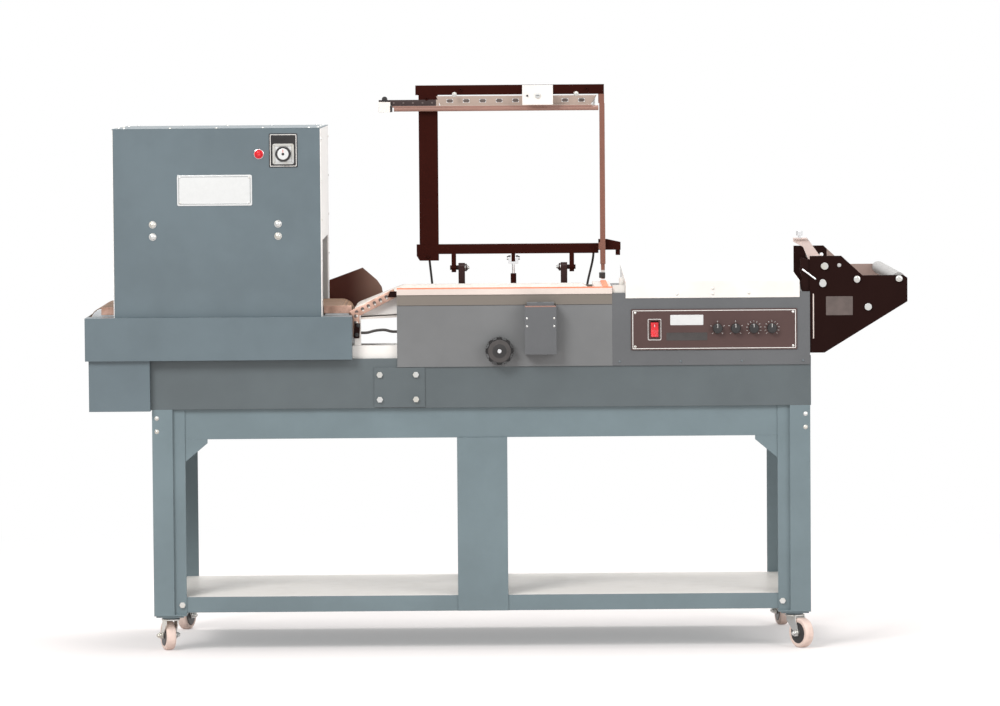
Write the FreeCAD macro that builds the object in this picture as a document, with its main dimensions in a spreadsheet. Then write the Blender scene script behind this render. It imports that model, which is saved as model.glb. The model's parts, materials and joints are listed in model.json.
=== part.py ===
import FreeCAD, Part
import math
import os
import re

import Sketcher
from FreeCAD import Placement, Rotation, Vector

# An L-bar sealer joined to a shrink tunnel on one wheeled stand.
# X runs along the machine, Y from front to back, Z up; the origin is on the floor
# under the middle of the machine.

doc = FreeCAD.newDocument("LBarSealer")
sheet = doc.addObject("Spreadsheet::Sheet", "Sizes")

# Driving dimensions in millimetres. A name that ends in _x, _y or _z is a place in the row frame;
# one that ends in _front or _back is a distance behind the front face of the stand.
SIZES = {
    # front face of the stand
    "front_y": -333,
    "gauge": 3,
    "skin": 2,
    "running_gap": 0.05,
    "belt_gap": 0.35,
    # stand
    "stand_depth": 552,
    "left_leg_x": -878,
    "right_leg_x": 796,
    "leg_face": 52,
    "leg_step": 9,
    "leg_flange": 31,
    "leg_web": 60,
    "leg_foot_z": 97,
    "stand_top_z": 621,
    "rail_tall": 77,
    "rail_deep": 40,
    "gusset_wide": 88,
    "gusset_tall": 77,
    "post_left_x": -103,
    "post_wide": 128,
    "shelf_z": 101,
    "shelf_tall": 40,
    # casters
    "caster_plate_z": 89,
    "caster_plate_size": 70,
    "caster_inset_x": 40,
    "caster_inset_y": 38,
    "race_radius": 22,
    "fork_crown_z": 80,
    "fork_trail": 28,
    "fork_gap": 14,
    "wheel_radius": 38,
    "wheel_half_width": 12.5,
    "hub_radius": 25,
    "axle_radius": 4,
    # main beam
    "beam_left_x": -881,
    "beam_right_x": 798,
    "beam_top_z": 747,
    "splice_left_x": -312,
    "splice_wide": 129,
    "splice_tall": 101,
    "bolt_radius": 8,
    "bolt_head": 6,
    # shrink tunnel
    "base_left_x": -1044,
    "base_right_x": -367,
    "base_front": -32,
    "base_back": 572,
    "base_top_z": 856,
    "housing_right_x": -881,
    "housing_z": 618,
    "casing_left_x": -971,
    "casing_right_x": -442,
    "casing_front": -12,
    "casing_back": 552,
    "casing_top_z": 1335,
    "chamber_front": 56,
    "chamber_back": 484,
    "chamber_top_z": 1048,
    "chamber_middle_x": -706,
    "belt_top_z": 879,
    "belt_thick": 2,
    "belt_front": 70,
    "belt_back": 470,
    "tunnel_roller_radius": 34,
    "tunnel_shaft_radius": 8,
    "exit_roller_x": -1002,
    "entry_roller_x": -407,
    "side_plate_thick": 6,
    "curtain_pivot_z": 1036,
    "curtain_drop": 148,
    "curtain_strip": 48,
    "curtain_count": 8,
    "curtain_thick": 2,
    "curtain_pin_radius": 4,
    "curtain_inset": 22,
    "heater_radius": 5,
    "blower_radius": 105,
    "blower_tall": 60,
    "blower_z": 1085,
    "blade_count": 12,
    "blower_shaft_radius": 6,
    "motor_radius": 55,
    "thermostat_x": -537,
    "thermostat_z": 1269,
    "lamp_x": -599,
    # sealer body
    "body_left_x": -253,
    "body_right_x": 294,
    "body_front": -4,
    "body_back": 556,
    "skirt_z": 725,
    "band_z": 882,
    "body_top_z": 908,
    "table_z": 923,
    "table_back": 380,
    "ledge": 44,
    "pad_wide": 14,
    "pad_thick": 3,
    "sealer_drive_x": 218,
    "sealer_drive_z": 897,
    "sealer_roller_radius": 18,
    "knee_x": -240,
    "knee_z": 903,
    "knee_radius": 12,
    "nose_x": -350,
    "nose_z": 861,
    "nose_radius": 11,
    "mesh_thick": 5,
    "mesh_front": 48,
    "mesh_back": 368,
    "roller_shaft_radius": 5,
    # control box
    "box_right_x": 796,
    "box_top_z": 910,
    "panel_left_x": 342,
    "panel_right_x": 763,
    "panel_z": 764,
    "panel_tall": 104,
    "panel_thick": 3,
    "knob_x": 561,
    "knob_pitch": 46,
    "knob_z": 818,
    "knob_radius": 12.5,
    "knob_deep": 15,
    "spindle_radius": 3,
    "rocker_x": 401,
    "rocker_z": 817,
    "rocker_wide": 19,
    "rocker_tall": 37,
    # magnet latch and hand wheel
    "magnet_x": 71,
    "magnet_wide": 81,
    "magnet_z": 757,
    "magnet_tall": 123,
    "magnet_deep": 41,
    "magnet_face_z": 889,
    "handwheel_x": 7,
    "handwheel_z": 766,
    "handwheel_radius": 36,
    # seal arm, raised
    "pivot_back": 420,
    "pivot_z": 960,
    "pivot_radius": 6,
    "tube": 25.4,
    "arm_left_x": -200,
    "arm_wide": 50,
    "arm_right_x": 268,
    "front_bar_right_x": 285,
    "front_bar_up": 452,
    "hinge_bar_up": 36,
    "corner_up": 19,
    "bar_end_x": 326,
    "bar_end_up": 44,
    "holder_up": 424,
    "holder_right_x": 266,
    "seal_out": 27,
    "seal_up": 416,
    "seal_rod_radius": 6.5,
    "side_bar_x": 279,
    "side_bar_thick": 13.7,
    "catch_x": 71,
    "catch_wide": 81,
    "catch_out": 71,
    "left_lug_x": -117,
    "right_lug_x": 192,
    "lug_thick": 12,
    "bracket_gap": 6,
    "bracket_thick": 17,
    # gas strut
    "strut_x": 45,
    "strut_up": 24,
    "strut_foot_z": 800,
    "strut_radius": 7.5,
    "strut_rod_radius": 4,
    "strut_top_z": 944,
    # product tray
    "tray_left_x": 328,
    "tray_right_x": 770,
    "tray_z": 939,
    "tray_lip_z": 896,
    "tray_rise": 22,
    "tray_deep": 600,
    # film cradle
    "cradle_x": 796,
    "cradle_right_x": 1044,
    "cradle_deep": 711,
    "cradle_z": 754,
    "cradle_top_z": 1000,
    "cradle_rod_radius": 6,
    "film_roller_radius": 16,
    "film_roller_z": 941,
    "film_roller_left_x": 916,
    "film_roller_right_x": 1022,
    "guide_rod_x": 834,
    "guide_rod_z": 974,
    # leads
    "link_radius": 3.5,
    "lead_radius": 3,
}

for row, (alias, amount) in enumerate(SIZES.items(), start=1):
    sheet.set(f"A{row}", alias)
    sheet.set(f"B{row}", str(amount))
    sheet.setAlias(f"B{row}", alias)
doc.recompute()

WORD = re.compile(r"[A-Za-z_]\w*")
SUBPARTS = []


def cells(text):
    """An expression on the names above, as the document's expressions spell it."""
    return WORD.sub(lambda m: f"Sizes.{m[0]}" if m[0] in SIZES else m[0], str(text))


def value(text):
    """The number that an expression on the names above gives now."""
    return doc.Sizes.evalExpression(cells(text)) if not isinstance(text, (int, float)) else text


def name_part(item, label):
    """Gives a finished sub-part its own label and puts it on the list to export."""
    item.Label = label
    SUBPARTS.append(item)
    return item


def place(item, at, turn=None):
    """Binds an object's place, and its turn (axis, degrees) where it has one."""
    if turn:
        item.Placement = Placement(Vector(), Rotation(Vector(*turn[0]), turn[1]))
    for letter, text in zip("xyz", at):
        item.setExpression(f"Placement.Base.{letter}", cells(text))
    return item


def block(name, size, at):
    """A box of the given size with its lowest corner at a place."""
    item = doc.addObject("Part::Box", name)
    for side, text in zip(("Length", "Width", "Height"), size):
        item.setExpression(side, cells(text))
    return place(item, at)


AXES = {"X": ((0, 1, 0), 90), "Y": ((1, 0, 0), -90), "Z": None}


def bar(name, radius, length, at, along="Z"):
    """A round bar that starts at a place and runs along +X, +Y or +Z."""
    item = doc.addObject("Part::Cylinder", name)
    item.setExpression("Radius", cells(radius))
    item.setExpression("Height", cells(length))
    return place(item, at, AXES[along])


def minus(name, base, *tools):
    """One solid with others taken out of it."""
    tool = tools[0]
    if len(tools) > 1:
        tool = doc.addObject("Part::Compound", name + "_tools")
        tool.Links = list(tools)
    item = doc.addObject("Part::Cut", name)
    item.Base, item.Tool = base, tool
    return item


def plus(name, *shapes):
    """Several solids made one."""
    item = doc.addObject("Part::MultiFuse", name)
    item.Shapes = list(shapes)
    item.Refine = True
    return item


def group(name, *members):
    """Separate solids that share one node."""
    item = doc.addObject("Part::Compound", name)
    item.Links = list(members)
    return item


PLANES = {"XY": "XY_Plane", "XZ": "XZ_Plane", "YZ": "YZ_Plane"}


def sketch_outline(body, plane, points, label):
    """A closed outline of straight sides on one of a body's own planes, each corner held by two sizes."""
    role = PLANES[plane]
    support = next(f for f in body.Origin.OriginFeatures if f.Role == role)
    sketch = body.newObject("Sketcher::SketchObject", label)
    sketch.AttachmentSupport = [(support, "")]
    sketch.MapMode = "FlatFace"
    corners = [Vector(value(across), value(up), 0) for across, up in points]
    count = len(corners)
    for index, corner in enumerate(corners):
        sketch.addGeometry(Part.LineSegment(corner, corners[(index + 1) % count]), False)
    for index in range(count):
        sketch.addConstraint(Sketcher.Constraint("Coincident", index, 2, (index + 1) % count, 1))
    for index, (corner, texts) in enumerate(zip(corners, points)):
        for kind, place_now, text in zip(("DistanceX", "DistanceY"), (corner.x, corner.y), texts):
            held = sketch.addConstraint(Sketcher.Constraint(kind, -1, 1, index, 1, place_now))
            sketch.setExpression(f"Constraints[{held}]", cells(text))
    return sketch


def panel(name, plane, points, thickness, at=("0", "0", "0"), turn=None):
    """A flat or folded piece: an outline on a plane, padded along the row axis that is left, to +."""
    body = doc.addObject("PartDesign::Body", name)
    sketch = sketch_outline(body, plane, points, name + "_outline")
    pad = body.newObject("PartDesign::Pad", name + "_pad")
    pad.Profile = sketch
    pad.setExpression("Length", cells(thickness))
    pad.Reversed = plane == "XZ"
    body.Tip = pad
    return place(body, at, turn)


def turned(name, points, at, turn=None):
    """A turned piece: an outline of (radius, place along the axis), spun about the body's own Y axis."""
    body = doc.addObject("PartDesign::Body", name)
    sketch = sketch_outline(body, "XY", points, name + "_outline")
    spin = body.newObject("PartDesign::Revolution", name + "_spin")
    spin.Profile = sketch
    spin.ReferenceAxis = (sketch, ["V_Axis"])
    spin.Angle = 360
    body.Tip = spin
    return place(body, at, turn)


def loop_wire(circles):
    """The outline of a tight loop round circles (X, Z, radius) given in clockwise order seen from the front."""
    corners = []
    count = len(circles)
    for index in range(count):
        (ax, az, ar), (bx, bz, br) = circles[index], circles[(index + 1) % count]
        run = math.hypot(bx - ax, bz - az)
        heading = math.atan2(bz - az, bx - ax)
        side = heading + math.acos((ar - br) / run)
        out = Vector(math.cos(side), 0, math.sin(side))
        corners.append((Vector(ax, 0, az) + out * ar, Vector(bx, 0, bz) + out * br, side))
    edges = []
    for index, (start, end, side) in enumerate(corners):
        following_start, _, following_side = corners[(index + 1) % count]
        edges.append(Part.LineSegment(start, end).toShape())
        cx, cz, radius = circles[(index + 1) % count]
        turn = (side - following_side) % (2 * math.pi)
        middle = side - turn / 2
        crown = Vector(cx + radius * math.cos(middle), 0, cz + radius * math.sin(middle))
        edges.append(Part.Arc(end, crown, following_start).toShape())
    return Part.Wire(edges)


def loop_slab(name, rollers, offset, front, back, thickness=None):
    """A slab, or a belt where a thickness is given, whose edge loops round rollers with an offset."""
    lengths = [[value(text) for text in roller] for roller in rollers]
    start, end, gap = value(front), value(back), value(offset)

    def slab(extra):
        wire = loop_wire([(x, z, radius + extra) for x, z, radius in lengths])
        return Part.Face(wire).extrude(Vector(0, end - start, 0))

    shape = slab(gap)
    if thickness:
        shape = slab(gap + value(thickness)).cut(shape)
    item = doc.addObject("Part::Feature", name)
    item.Shape = shape
    return place(item, ("0", front, "0"))


def lead_path(points, share=0.45):
    """Straight runs joined by tangent arcs, each arc as large as its two runs allow."""
    spots = [Vector(*[value(text) for text in point]) for point in points]
    edges, radii, start = [], [], spots[0]
    for before, corner, after in zip(spots, spots[1:], spots[2:]):
        back, ahead = (before - corner), (after - corner)
        shorter = min(back.Length, ahead.Length)
        back.normalize()
        ahead.normalize()
        half_turn = (math.pi - back.getAngle(ahead)) / 2
        reach = share * shorter
        radius = reach / math.tan(half_turn)
        radii.append(radius)
        enter, leave = corner + back * reach, corner + ahead * reach
        inward = (back + ahead).normalize()
        centre = corner + inward * (radius / math.cos(half_turn))
        edges.append(Part.LineSegment(start, enter).toShape())
        edges.append(Part.Arc(enter, centre - inward * radius, leave).toShape())
        start = leave
    edges.append(Part.LineSegment(start, spots[-1]).toShape())
    return Part.Wire(edges), radii


def lead(name, points, radius):
    """A round lead along a path of runs and arcs."""
    wire, radii = lead_path(points)
    size = value(radius)
    first = wire.Edges[0]
    ring = Part.Wire(Part.Circle(first.valueAt(first.FirstParameter), first.tangentAt(0), size).toShape())
    tube = wire.makePipeShell([ring], True, True)
    expected = math.pi * size ** 2 * wire.Length
    smallest = min(radii)
    print(f"{name}: length {wire.Length:.0f}, smallest bend {smallest:.0f}, volume ratio "
          f"{tube.Volume / expected:.3f}")
    item = doc.addObject("Part::Feature", name)
    item.Shape = tube
    return item


# ---------------------------------------------------------------- stand

FRONT = "front_y"
BACK = "(front_y + stand_depth)"
# each corner of the stand: name, outer edge of the leg, X sign inward, face plane, Y sign inward
CORNERS = (
    ("front_left", "left_leg_x", "1", FRONT, "1"),
    ("front_right", "right_leg_x", "-1", FRONT, "1"),
    ("rear_left", "left_leg_x", "1", BACK, "-1"),
    ("rear_right", "right_leg_x", "-1", BACK, "-1"),
)


def leg(corner, x, inward, y, back):
    """A folded leg: outer web, front face, a step back and an inner flange, seen from above."""
    section = (
        ("0", "0"), ("leg_face", "0"), ("leg_face", "leg_step"), ("leg_face + leg_flange", "leg_step"),
        ("leg_face + leg_flange", "leg_step + gauge"), ("leg_face - gauge", "leg_step + gauge"),
        ("leg_face - gauge", "gauge"), ("gauge", "gauge"), ("gauge", "leg_web"), ("0", "leg_web"),
    )
    points = [(f"{inward}*({across})", f"{back}*({deep})") for across, deep in section]
    return panel(f"leg_{corner}", "XY", points, "stand_top_z - leg_foot_z", (x, y, "leg_foot_z"))


def foot_plate(corner, x, inward, y, back):
    """The plate that closes the leg's foot and takes the caster's top plate with its ball race."""
    low_x = x if inward == "1" else f"{x} - leg_face - leg_flange"
    low_y = y if back == "1" else f"{y} - leg_web - 16"
    foot = block(f"foot_{corner}", ("leg_face + leg_flange", "leg_web + 16", "leg_foot_z - caster_plate_z - 4"),
                 (low_x, low_y, "caster_plate_z + 4"))
    centre = swivel_at(x, inward, y, back)
    top = block(f"caster_top_{corner}", ("caster_plate_size", "caster_plate_size", "4"),
                (f"{centre[0]} - caster_plate_size/2", f"{centre[1]} - caster_plate_size/2", "caster_plate_z"))
    race = bar(f"race_{corner}", "race_radius", "caster_plate_z - fork_crown_z - gauge - 0.6",
               (*centre, "fork_crown_z + gauge + 0.6"))
    return [foot, plus(f"caster_mount_{corner}", top, race)]


def swivel_at(x, inward, y, back):
    """Where a caster's swivel axis stands."""
    return f"{x} + {inward}*caster_inset_x", f"{y} + {back}*caster_inset_y"


def gusset(corner, x, inward, y, back):
    """A corner plate under the upper rail with its long side cut off."""
    low = "stand_top_z - rail_tall - gusset_tall"
    points = [(f"{x} + {inward}*({across})", up) for across, up in (
        ("gauge", low), ("gauge + 8", low), ("gusset_wide + gauge", "stand_top_z - rail_tall - 10"),
        ("gusset_wide + gauge", "stand_top_z - rail_tall"), ("gauge", "stand_top_z - rail_tall"))]
    points = [(f"{across} + {inward}*(leg_face - gauge)", up) for across, up in points]
    plane = f"{y} + {back}*(leg_step + gauge)"
    return panel(f"gusset_{corner}", "XZ", points, "gauge", ("0", plane if back == "1" else f"{plane} - gauge", "0"))


def build_legs():
    members = []
    for corner in CORNERS:
        members += [leg(*corner), gusset(*corner), *foot_plate(*corner)]
    name_part(group("Legs", *members), "stand_legs")


def channel_points(low, tall, deep, y, back):
    """A C section in Y and Z whose web is at a plane and whose flanges run inward."""
    return [(f"{y} + {back}*({across})", f"{low} + {up}") for across, up in (
        ("0", "0"), (deep, "0"), (deep, "gauge"), ("gauge", "gauge"), ("gauge", f"{tall} - gauge"),
        (deep, f"{tall} - gauge"), (deep, tall), ("0", tall))]


def build_rails():
    """Upper rails on four sides and the two centre posts."""
    low = "stand_top_z - rail_tall"
    inner = "leg_step + gauge"
    members = []
    for side, y, back in (("front", FRONT, "1"), ("rear", BACK, "-1")):
        plane = f"{y} + {back}*({inner})"
        members.append(panel(f"rail_{side}", "YZ", channel_points(low, "rail_tall", "rail_deep", plane, back),
                             "right_leg_x - left_leg_x - 2*leg_face",
                             ("left_leg_x + leg_face", "0", "0")))
        members.append(centre_post(side, y, back))
    side_from = "leg_web + 0.5"
    for side, x, inward in (("left", "left_leg_x", "1"), ("right", "right_leg_x", "-1")):
        points = [(f"{x} + {inward}*({across})", up) for across, up in (
            ("0", low), ("rail_deep", low), ("rail_deep", f"{low} + gauge"), ("gauge", f"{low} + gauge"),
            ("gauge", "stand_top_z - gauge"), ("rail_deep", "stand_top_z - gauge"), ("rail_deep", "stand_top_z"),
            ("0", "stand_top_z"))]
        members.append(panel(f"rail_{side}", "XZ", points, f"stand_depth - 2*({side_from})",
                             ("0", f"front_y + {side_from}", "0")))
    name_part(group("Rails", *members), "stand_rails")


def centre_post(side, y, back):
    """A channel between shelf and rail whose web runs on down in front of the shelf."""
    section = (("0", "0"), ("post_wide", "0"), ("post_wide", "35"), ("post_wide - gauge", "35"),
               ("post_wide - gauge", "gauge"), ("gauge", "gauge"), ("gauge", "35"), ("0", "35"))
    points = [(across, f"{back}*({deep})") for across, deep in section]
    face = f"{y} + {back}*leg_step"
    upper = panel(f"post_{side}", "XY", points, "stand_top_z - rail_tall - shelf_z - shelf_tall",
                  ("post_left_x", face, "shelf_z + shelf_tall"))
    low_y = face if back == "1" else f"{face} - gauge"
    tab = block(f"post_tab_{side}", ("post_wide", "gauge", "shelf_tall"), ("post_left_x", low_y, "shelf_z"))
    return plus(f"post_whole_{side}", upper, tab)


def build_shelf():
    """The lower shelf: a galvanised deck with a folded edge all along its front and back."""
    edge = "(leg_step + gauge)"
    front, back = f"{FRONT} + {edge}", f"{BACK} - {edge}"
    low, top = "shelf_z", "shelf_z + shelf_tall"
    points = [(front, low), (f"{front} + skin", low), (f"{front} + skin", f"{top} - skin"),
              (f"{back} - skin", f"{top} - skin"), (f"{back} - skin", low), (back, low), (back, top), (front, top)]
    name_part(panel("Shelf", "YZ", points, "right_leg_x - left_leg_x - 2*leg_face",
                    ("left_leg_x + leg_face", "0", "0")), "lower_shelf")


# ---------------------------------------------------------------- main beam

def build_beam():
    """Two long channels and two end channels, a deck plate on top and the splice plates."""
    tall = "beam_top_z - stand_top_z - gauge"
    long = "beam_right_x - beam_left_x"
    members = []
    for side, y, back in (("front", FRONT, "1"), ("rear", BACK, "-1")):
        members.append(panel(f"beam_{side}", "YZ", channel_points("stand_top_z", tall, "45", y, back), long,
                             ("beam_left_x", "0", "0")))
        low_y = f"{y} - gauge" if back == "1" else y
        members.append(block(f"splice_{side}", ("splice_wide", "gauge", "splice_tall"),
                             ("splice_left_x", low_y, "stand_top_z + 2")))
    for side, x in (("left", "beam_left_x"), ("right", "beam_right_x - gauge")):
        members.append(block(f"beam_end_{side}", ("gauge", "stand_depth - 90", tall),
                             (x, f"{FRONT} + 45", "stand_top_z")))
    members.append(block("deck_plate", (long, "stand_depth", "gauge"), ("beam_left_x", FRONT, "beam_top_z - gauge")))
    name_part(group("Beam", *members), "main_beam")


def build_frame_bolts():
    """Hexagon bolts of the splice plates and of the shelf's ends."""
    members = []
    for side, y, back in (("front", FRONT, "1"), ("rear", BACK, "-1")):
        heads = [(f"splice_left_x + {across}", f"stand_top_z + {up}", "gauge")
                 for across in (14, 106) for up in (22, 85)]
        heads += [("left_leg_x + leg_face + 20", "shelf_z + shelf_tall/2", "-leg_step"),
                  ("right_leg_x - leg_face - 20", "shelf_z + shelf_tall/2", "-leg_step")]
        for index, (x, z, out) in enumerate(heads):
            plane = f"{y} - {back}*({out})"
            low_y = f"{plane} - bolt_head" if back == "1" else plane
            points = [(f"bolt_radius*{math.cos(math.radians(turn)):.4f}",
                       f"bolt_radius*{math.sin(math.radians(turn)):.4f}") for turn in range(0, 360, 60)]
            members.append(panel(f"bolt_{side}_{index}", "XZ", points, "bolt_head", (x, low_y, z)))
    name_part(group("FrameBolts", *members), "frame_bolts")


# ---------------------------------------------------------------- casters

# heading of each wheel's trail, in degrees from +X seen from above
HEADINGS = {"front_left": 108, "front_right": -55, "rear_left": 70, "rear_right": 100}


def build_casters():
    """Swivel forks and wheels; each is made with its trail along +X and then turned to its heading."""
    for corner, x, inward, y, back in CORNERS:
        heading = HEADINGS[corner]
        swivel = swivel_at(x, inward, y, back)
        at = (*swivel, "0")
        name_part(fork(corner, at, heading), f"caster_fork_{corner}")
        profile = (("axle_radius + running_gap", "-wheel_half_width"), ("12", "-wheel_half_width"),
                   ("13", "-8"), ("hub_radius - 1", "-8"), ("hub_radius", "-wheel_half_width + 1"),
                   ("wheel_radius - 4", "-wheel_half_width"), ("wheel_radius - 1", "-wheel_half_width + 2.5"),
                   ("wheel_radius", "-6"), ("wheel_radius", "6"),
                   ("wheel_radius - 1", "wheel_half_width - 2.5"), ("wheel_radius - 4", "wheel_half_width"),
                   ("hub_radius", "wheel_half_width - 1"), ("hub_radius - 1", "8"), ("13", "8"),
                   ("12", "wheel_half_width"), ("axle_radius + running_gap", "wheel_half_width"))
        turn = math.radians(heading)
        centre = (f"{swivel[0]} + fork_trail*{math.cos(turn):.5f}", f"{swivel[1]} + fork_trail*{math.sin(turn):.5f}",
                  "wheel_radius")
        name_part(turned(f"Wheel_{corner}", profile, centre, ((0, 0, 1), heading)), f"caster_wheel_{corner}")


def fork(corner, at, heading):
    """A crown disc, two cheeks that reach back to the axle, and the axle with its nuts."""
    crown = bar(f"crown_{corner}", "race_radius + 2", "gauge", ("0", "0", "fork_crown_z"))
    cheeks = []
    for side, y in (("left", "-fork_gap - gauge"), ("right", "fork_gap")):
        outline = (("-12", "fork_crown_z + gauge"), ("-12", "fork_crown_z - 12"), ("fork_trail - 9", "wheel_radius"),
                   ("fork_trail - 6", "wheel_radius - 8"), ("fork_trail + 6", "wheel_radius - 8"),
                   ("fork_trail + 9", "wheel_radius"), ("20", "fork_crown_z + gauge"))
        cheeks.append(panel(f"cheek_{corner}_{side}", "XZ", outline, "gauge", ("0", y, "0")))
    bridge = block(f"bridge_{corner}", ("32", "2*fork_gap + 2*gauge", "gauge"),
                   ("-12", "-fork_gap - gauge", "fork_crown_z"))
    axle = bar(f"axle_{corner}", "axle_radius", "2*fork_gap + 2*gauge + 10",
               ("fork_trail", "-fork_gap - gauge - 5", "wheel_radius"), "Y")
    nuts = [bar(f"nut_{corner}_{index}", "6.5", "4", ("fork_trail", y, "wheel_radius"), "Y")
            for index, y in enumerate(("-fork_gap - gauge - 4", "fork_gap + gauge"))]
    return place(plus(f"Fork_{corner}", crown, bridge, *cheeks, axle, *nuts), at, ((0, 0, 1), heading))


build_legs()
build_rails()
build_shelf()
build_beam()
build_frame_bolts()
build_casters()


# ---------------------------------------------------------------- shrink tunnel

def deep(text):
    """The Y place that lies a distance behind the stand's front face."""
    return f"front_y + {text}" if not str(text).startswith("-") else f"front_y {text}"


TUNNEL_ROLLER_Z = "(belt_top_z - belt_thick - belt_gap - tunnel_roller_radius)"
BLOWER_Y = deep("(chamber_front + chamber_back)/2")
MOTOR_Y = deep("chamber_back + 40")
MOTOR_X = "(exit_roller_x + 52)"


def build_tunnel_base():
    """An open tray with inward rims that carries the tunnel, and the housing of its drive below."""
    outer = block("base_outer", ("base_right_x - base_left_x", "base_back - base_front", "base_top_z - beam_top_z"),
                  ("base_left_x", deep("base_front"), "beam_top_z"))
    room = block("base_room", ("base_right_x - base_left_x - 2*skin", "base_back - base_front - 2*skin",
                               "base_top_z - beam_top_z - 2*skin"),
                 ("base_left_x + skin", deep("base_front + skin"), "beam_top_z + skin"))
    mouth = block("base_mouth", ("base_right_x - base_left_x - 2*skin", "chamber_back - chamber_front", "2*skin"),
                  ("base_left_x + skin", deep("chamber_front"), "base_top_z - skin"))
    motor_hole = bar("base_motor_hole", "42", "4*skin", (MOTOR_X, MOTOR_Y, "beam_top_z - skin"))
    base = minus("base_tray", outer, room, mouth, motor_hole)
    shell = block("housing_outer", ("housing_right_x - base_left_x - 8", "base_back + 20", "beam_top_z - housing_z"),
                  ("base_left_x + 8", deep("-20"), "housing_z"))
    hollow = block("housing_room", ("housing_right_x - base_left_x - 8 - 2*skin", "base_back + 20 - 2*skin",
                                    "beam_top_z - housing_z"),
                   ("base_left_x + 8 + skin", deep("-20 + skin"), "housing_z + skin"))
    name_part(group("TunnelBase", base, minus("housing", shell, hollow)), "tunnel_base")


def build_tunnel_casing():
    """Front and rear panels with folded returns under one flat top cover."""
    end = "skin"
    wide = "casing_right_x - casing_left_x"
    members = []
    for side, face, back in (("front", deep("casing_front"), "1"), ("rear", deep("casing_back"), "-1")):
        section = (("0", "0"), (f"{wide} - 2*{end}", "0"), (f"{wide} - 2*{end}", "24"),
                   (f"{wide} - 3*{end}", "24"), (f"{wide} - 3*{end}", "skin"), ("skin", "skin"),
                   ("skin", "24"), ("0", "24"))
        points = [(across, f"{back}*({inward})") for across, inward in section]
        whole = panel(f"casing_{side}", "XY", points, "casing_top_z - skin - base_top_z",
                      (f"casing_left_x + {end}", face, "base_top_z"))
        if side == "front":
            hole = bar("thermostat_hole", "spindle_radius + running_gap", "3*skin",
                       ("thermostat_x", f"{face} - skin/2", "thermostat_z"), "Y")
            whole = minus("casing_front_drilled", whole, hole)
        members.append(whole)
    members.append(block("top_cover", (wide, "casing_back - casing_front", "skin"),
                         ("casing_left_x", deep("casing_front"), "casing_top_z - skin")))
    name_part(group("TunnelCasing", *members), "tunnel_casing")


def build_tunnel_liner():
    """End plates with the tunnel mouth cut out, the chamber's two walls and its ceiling."""
    members = []
    for side, x in (("exit", "casing_left_x"), ("entry", "casing_right_x - skin")):
        plate = block(f"end_{side}", ("skin", "casing_back - casing_front", "casing_top_z - skin - base_top_z"),
                      (x, deep("casing_front"), "base_top_z"))
        mouth = block(f"mouth_{side}", ("3*skin", "chamber_back - chamber_front", "chamber_top_z - base_top_z + 1"),
                      (f"{x} - skin", deep("chamber_front"), "base_top_z - 1"))
        members.append(minus(f"end_plate_{side}", plate, mouth))
    inside = "casing_right_x - casing_left_x - 2*skin"
    for side, face in (("front", "chamber_front - gauge"), ("rear", "chamber_back")):
        wall = block(f"liner_wall_{side}", (inside, "gauge", "chamber_top_z - base_top_z"),
                     ("casing_left_x + skin", deep(face), "base_top_z"))
        holes = [bar(f"curtain_hole_{side}_{name}", "curtain_pin_radius + running_gap", "3*gauge",
                     (x, deep(f"{face} - gauge"), "curtain_pivot_z"), "Y")
                 for name, x in (("exit", "casing_left_x + curtain_inset"), ("entry", "casing_right_x - curtain_inset"))]
        members.append(minus(f"liner_{side}", wall, *holes))
    ceiling = block("liner_ceiling", (inside, "chamber_back - chamber_front + 2*gauge", "gauge"),
                    ("casing_left_x + skin", deep("chamber_front - gauge"), "chamber_top_z"))
    eye = bar("ceiling_eye", "blower_radius - 25", "3*gauge", ("chamber_middle_x", BLOWER_Y, "chamber_top_z - gauge"))
    members.append(minus("liner_top", ceiling, eye))
    name_part(group("TunnelLiner", *members), "tunnel_liner")


def build_heaters():
    """Straight tubular elements in the plenum, two each side of the blower."""
    rods = [bar(f"heater_{index}", "heater_radius", "casing_right_x - casing_left_x - 2*skin",
                ("casing_left_x + skin", deep(place_back), "chamber_top_z + gauge + 24"), "X")
            for index, place_back in enumerate(("chamber_front + 22", "chamber_front + 46",
                                                "chamber_back - 46", "chamber_back - 22"))]
    name_part(group("Heaters", *rods), "heater_rods")


def build_motors():
    """The blower's motor under the top cover, and the belt's gear motor inside the base."""
    top = "casing_top_z - skin"
    can = bar("blower_can", "motor_radius", f"{top} - blower_z - blower_tall - 30",
              ("chamber_middle_x", BLOWER_Y, "blower_z + blower_tall + 30"))
    shaft = bar("blower_shaft", "blower_shaft_radius", "blower_tall + 32",
                ("chamber_middle_x", BLOWER_Y, "blower_z"))
    box = block("gearbox_block", ("116", "70", "54"), ("exit_roller_x - 26", deep("chamber_back"), "base_top_z - 58"))
    bore = bar("gearbox_bore", "tunnel_shaft_radius + running_gap", "40",
               ("exit_roller_x", deep("chamber_back - 1"), TUNNEL_ROLLER_Z), "Y")
    can_low = bar("gear_can", "38", "base_top_z - 58 - housing_z - 20", (MOTOR_X, MOTOR_Y, "housing_z + 20"))
    name_part(group("Motors", plus("blower_motor", can, shaft), plus("gear_motor", minus("gearbox", box, bore), can_low)),
              "motors")


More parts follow.
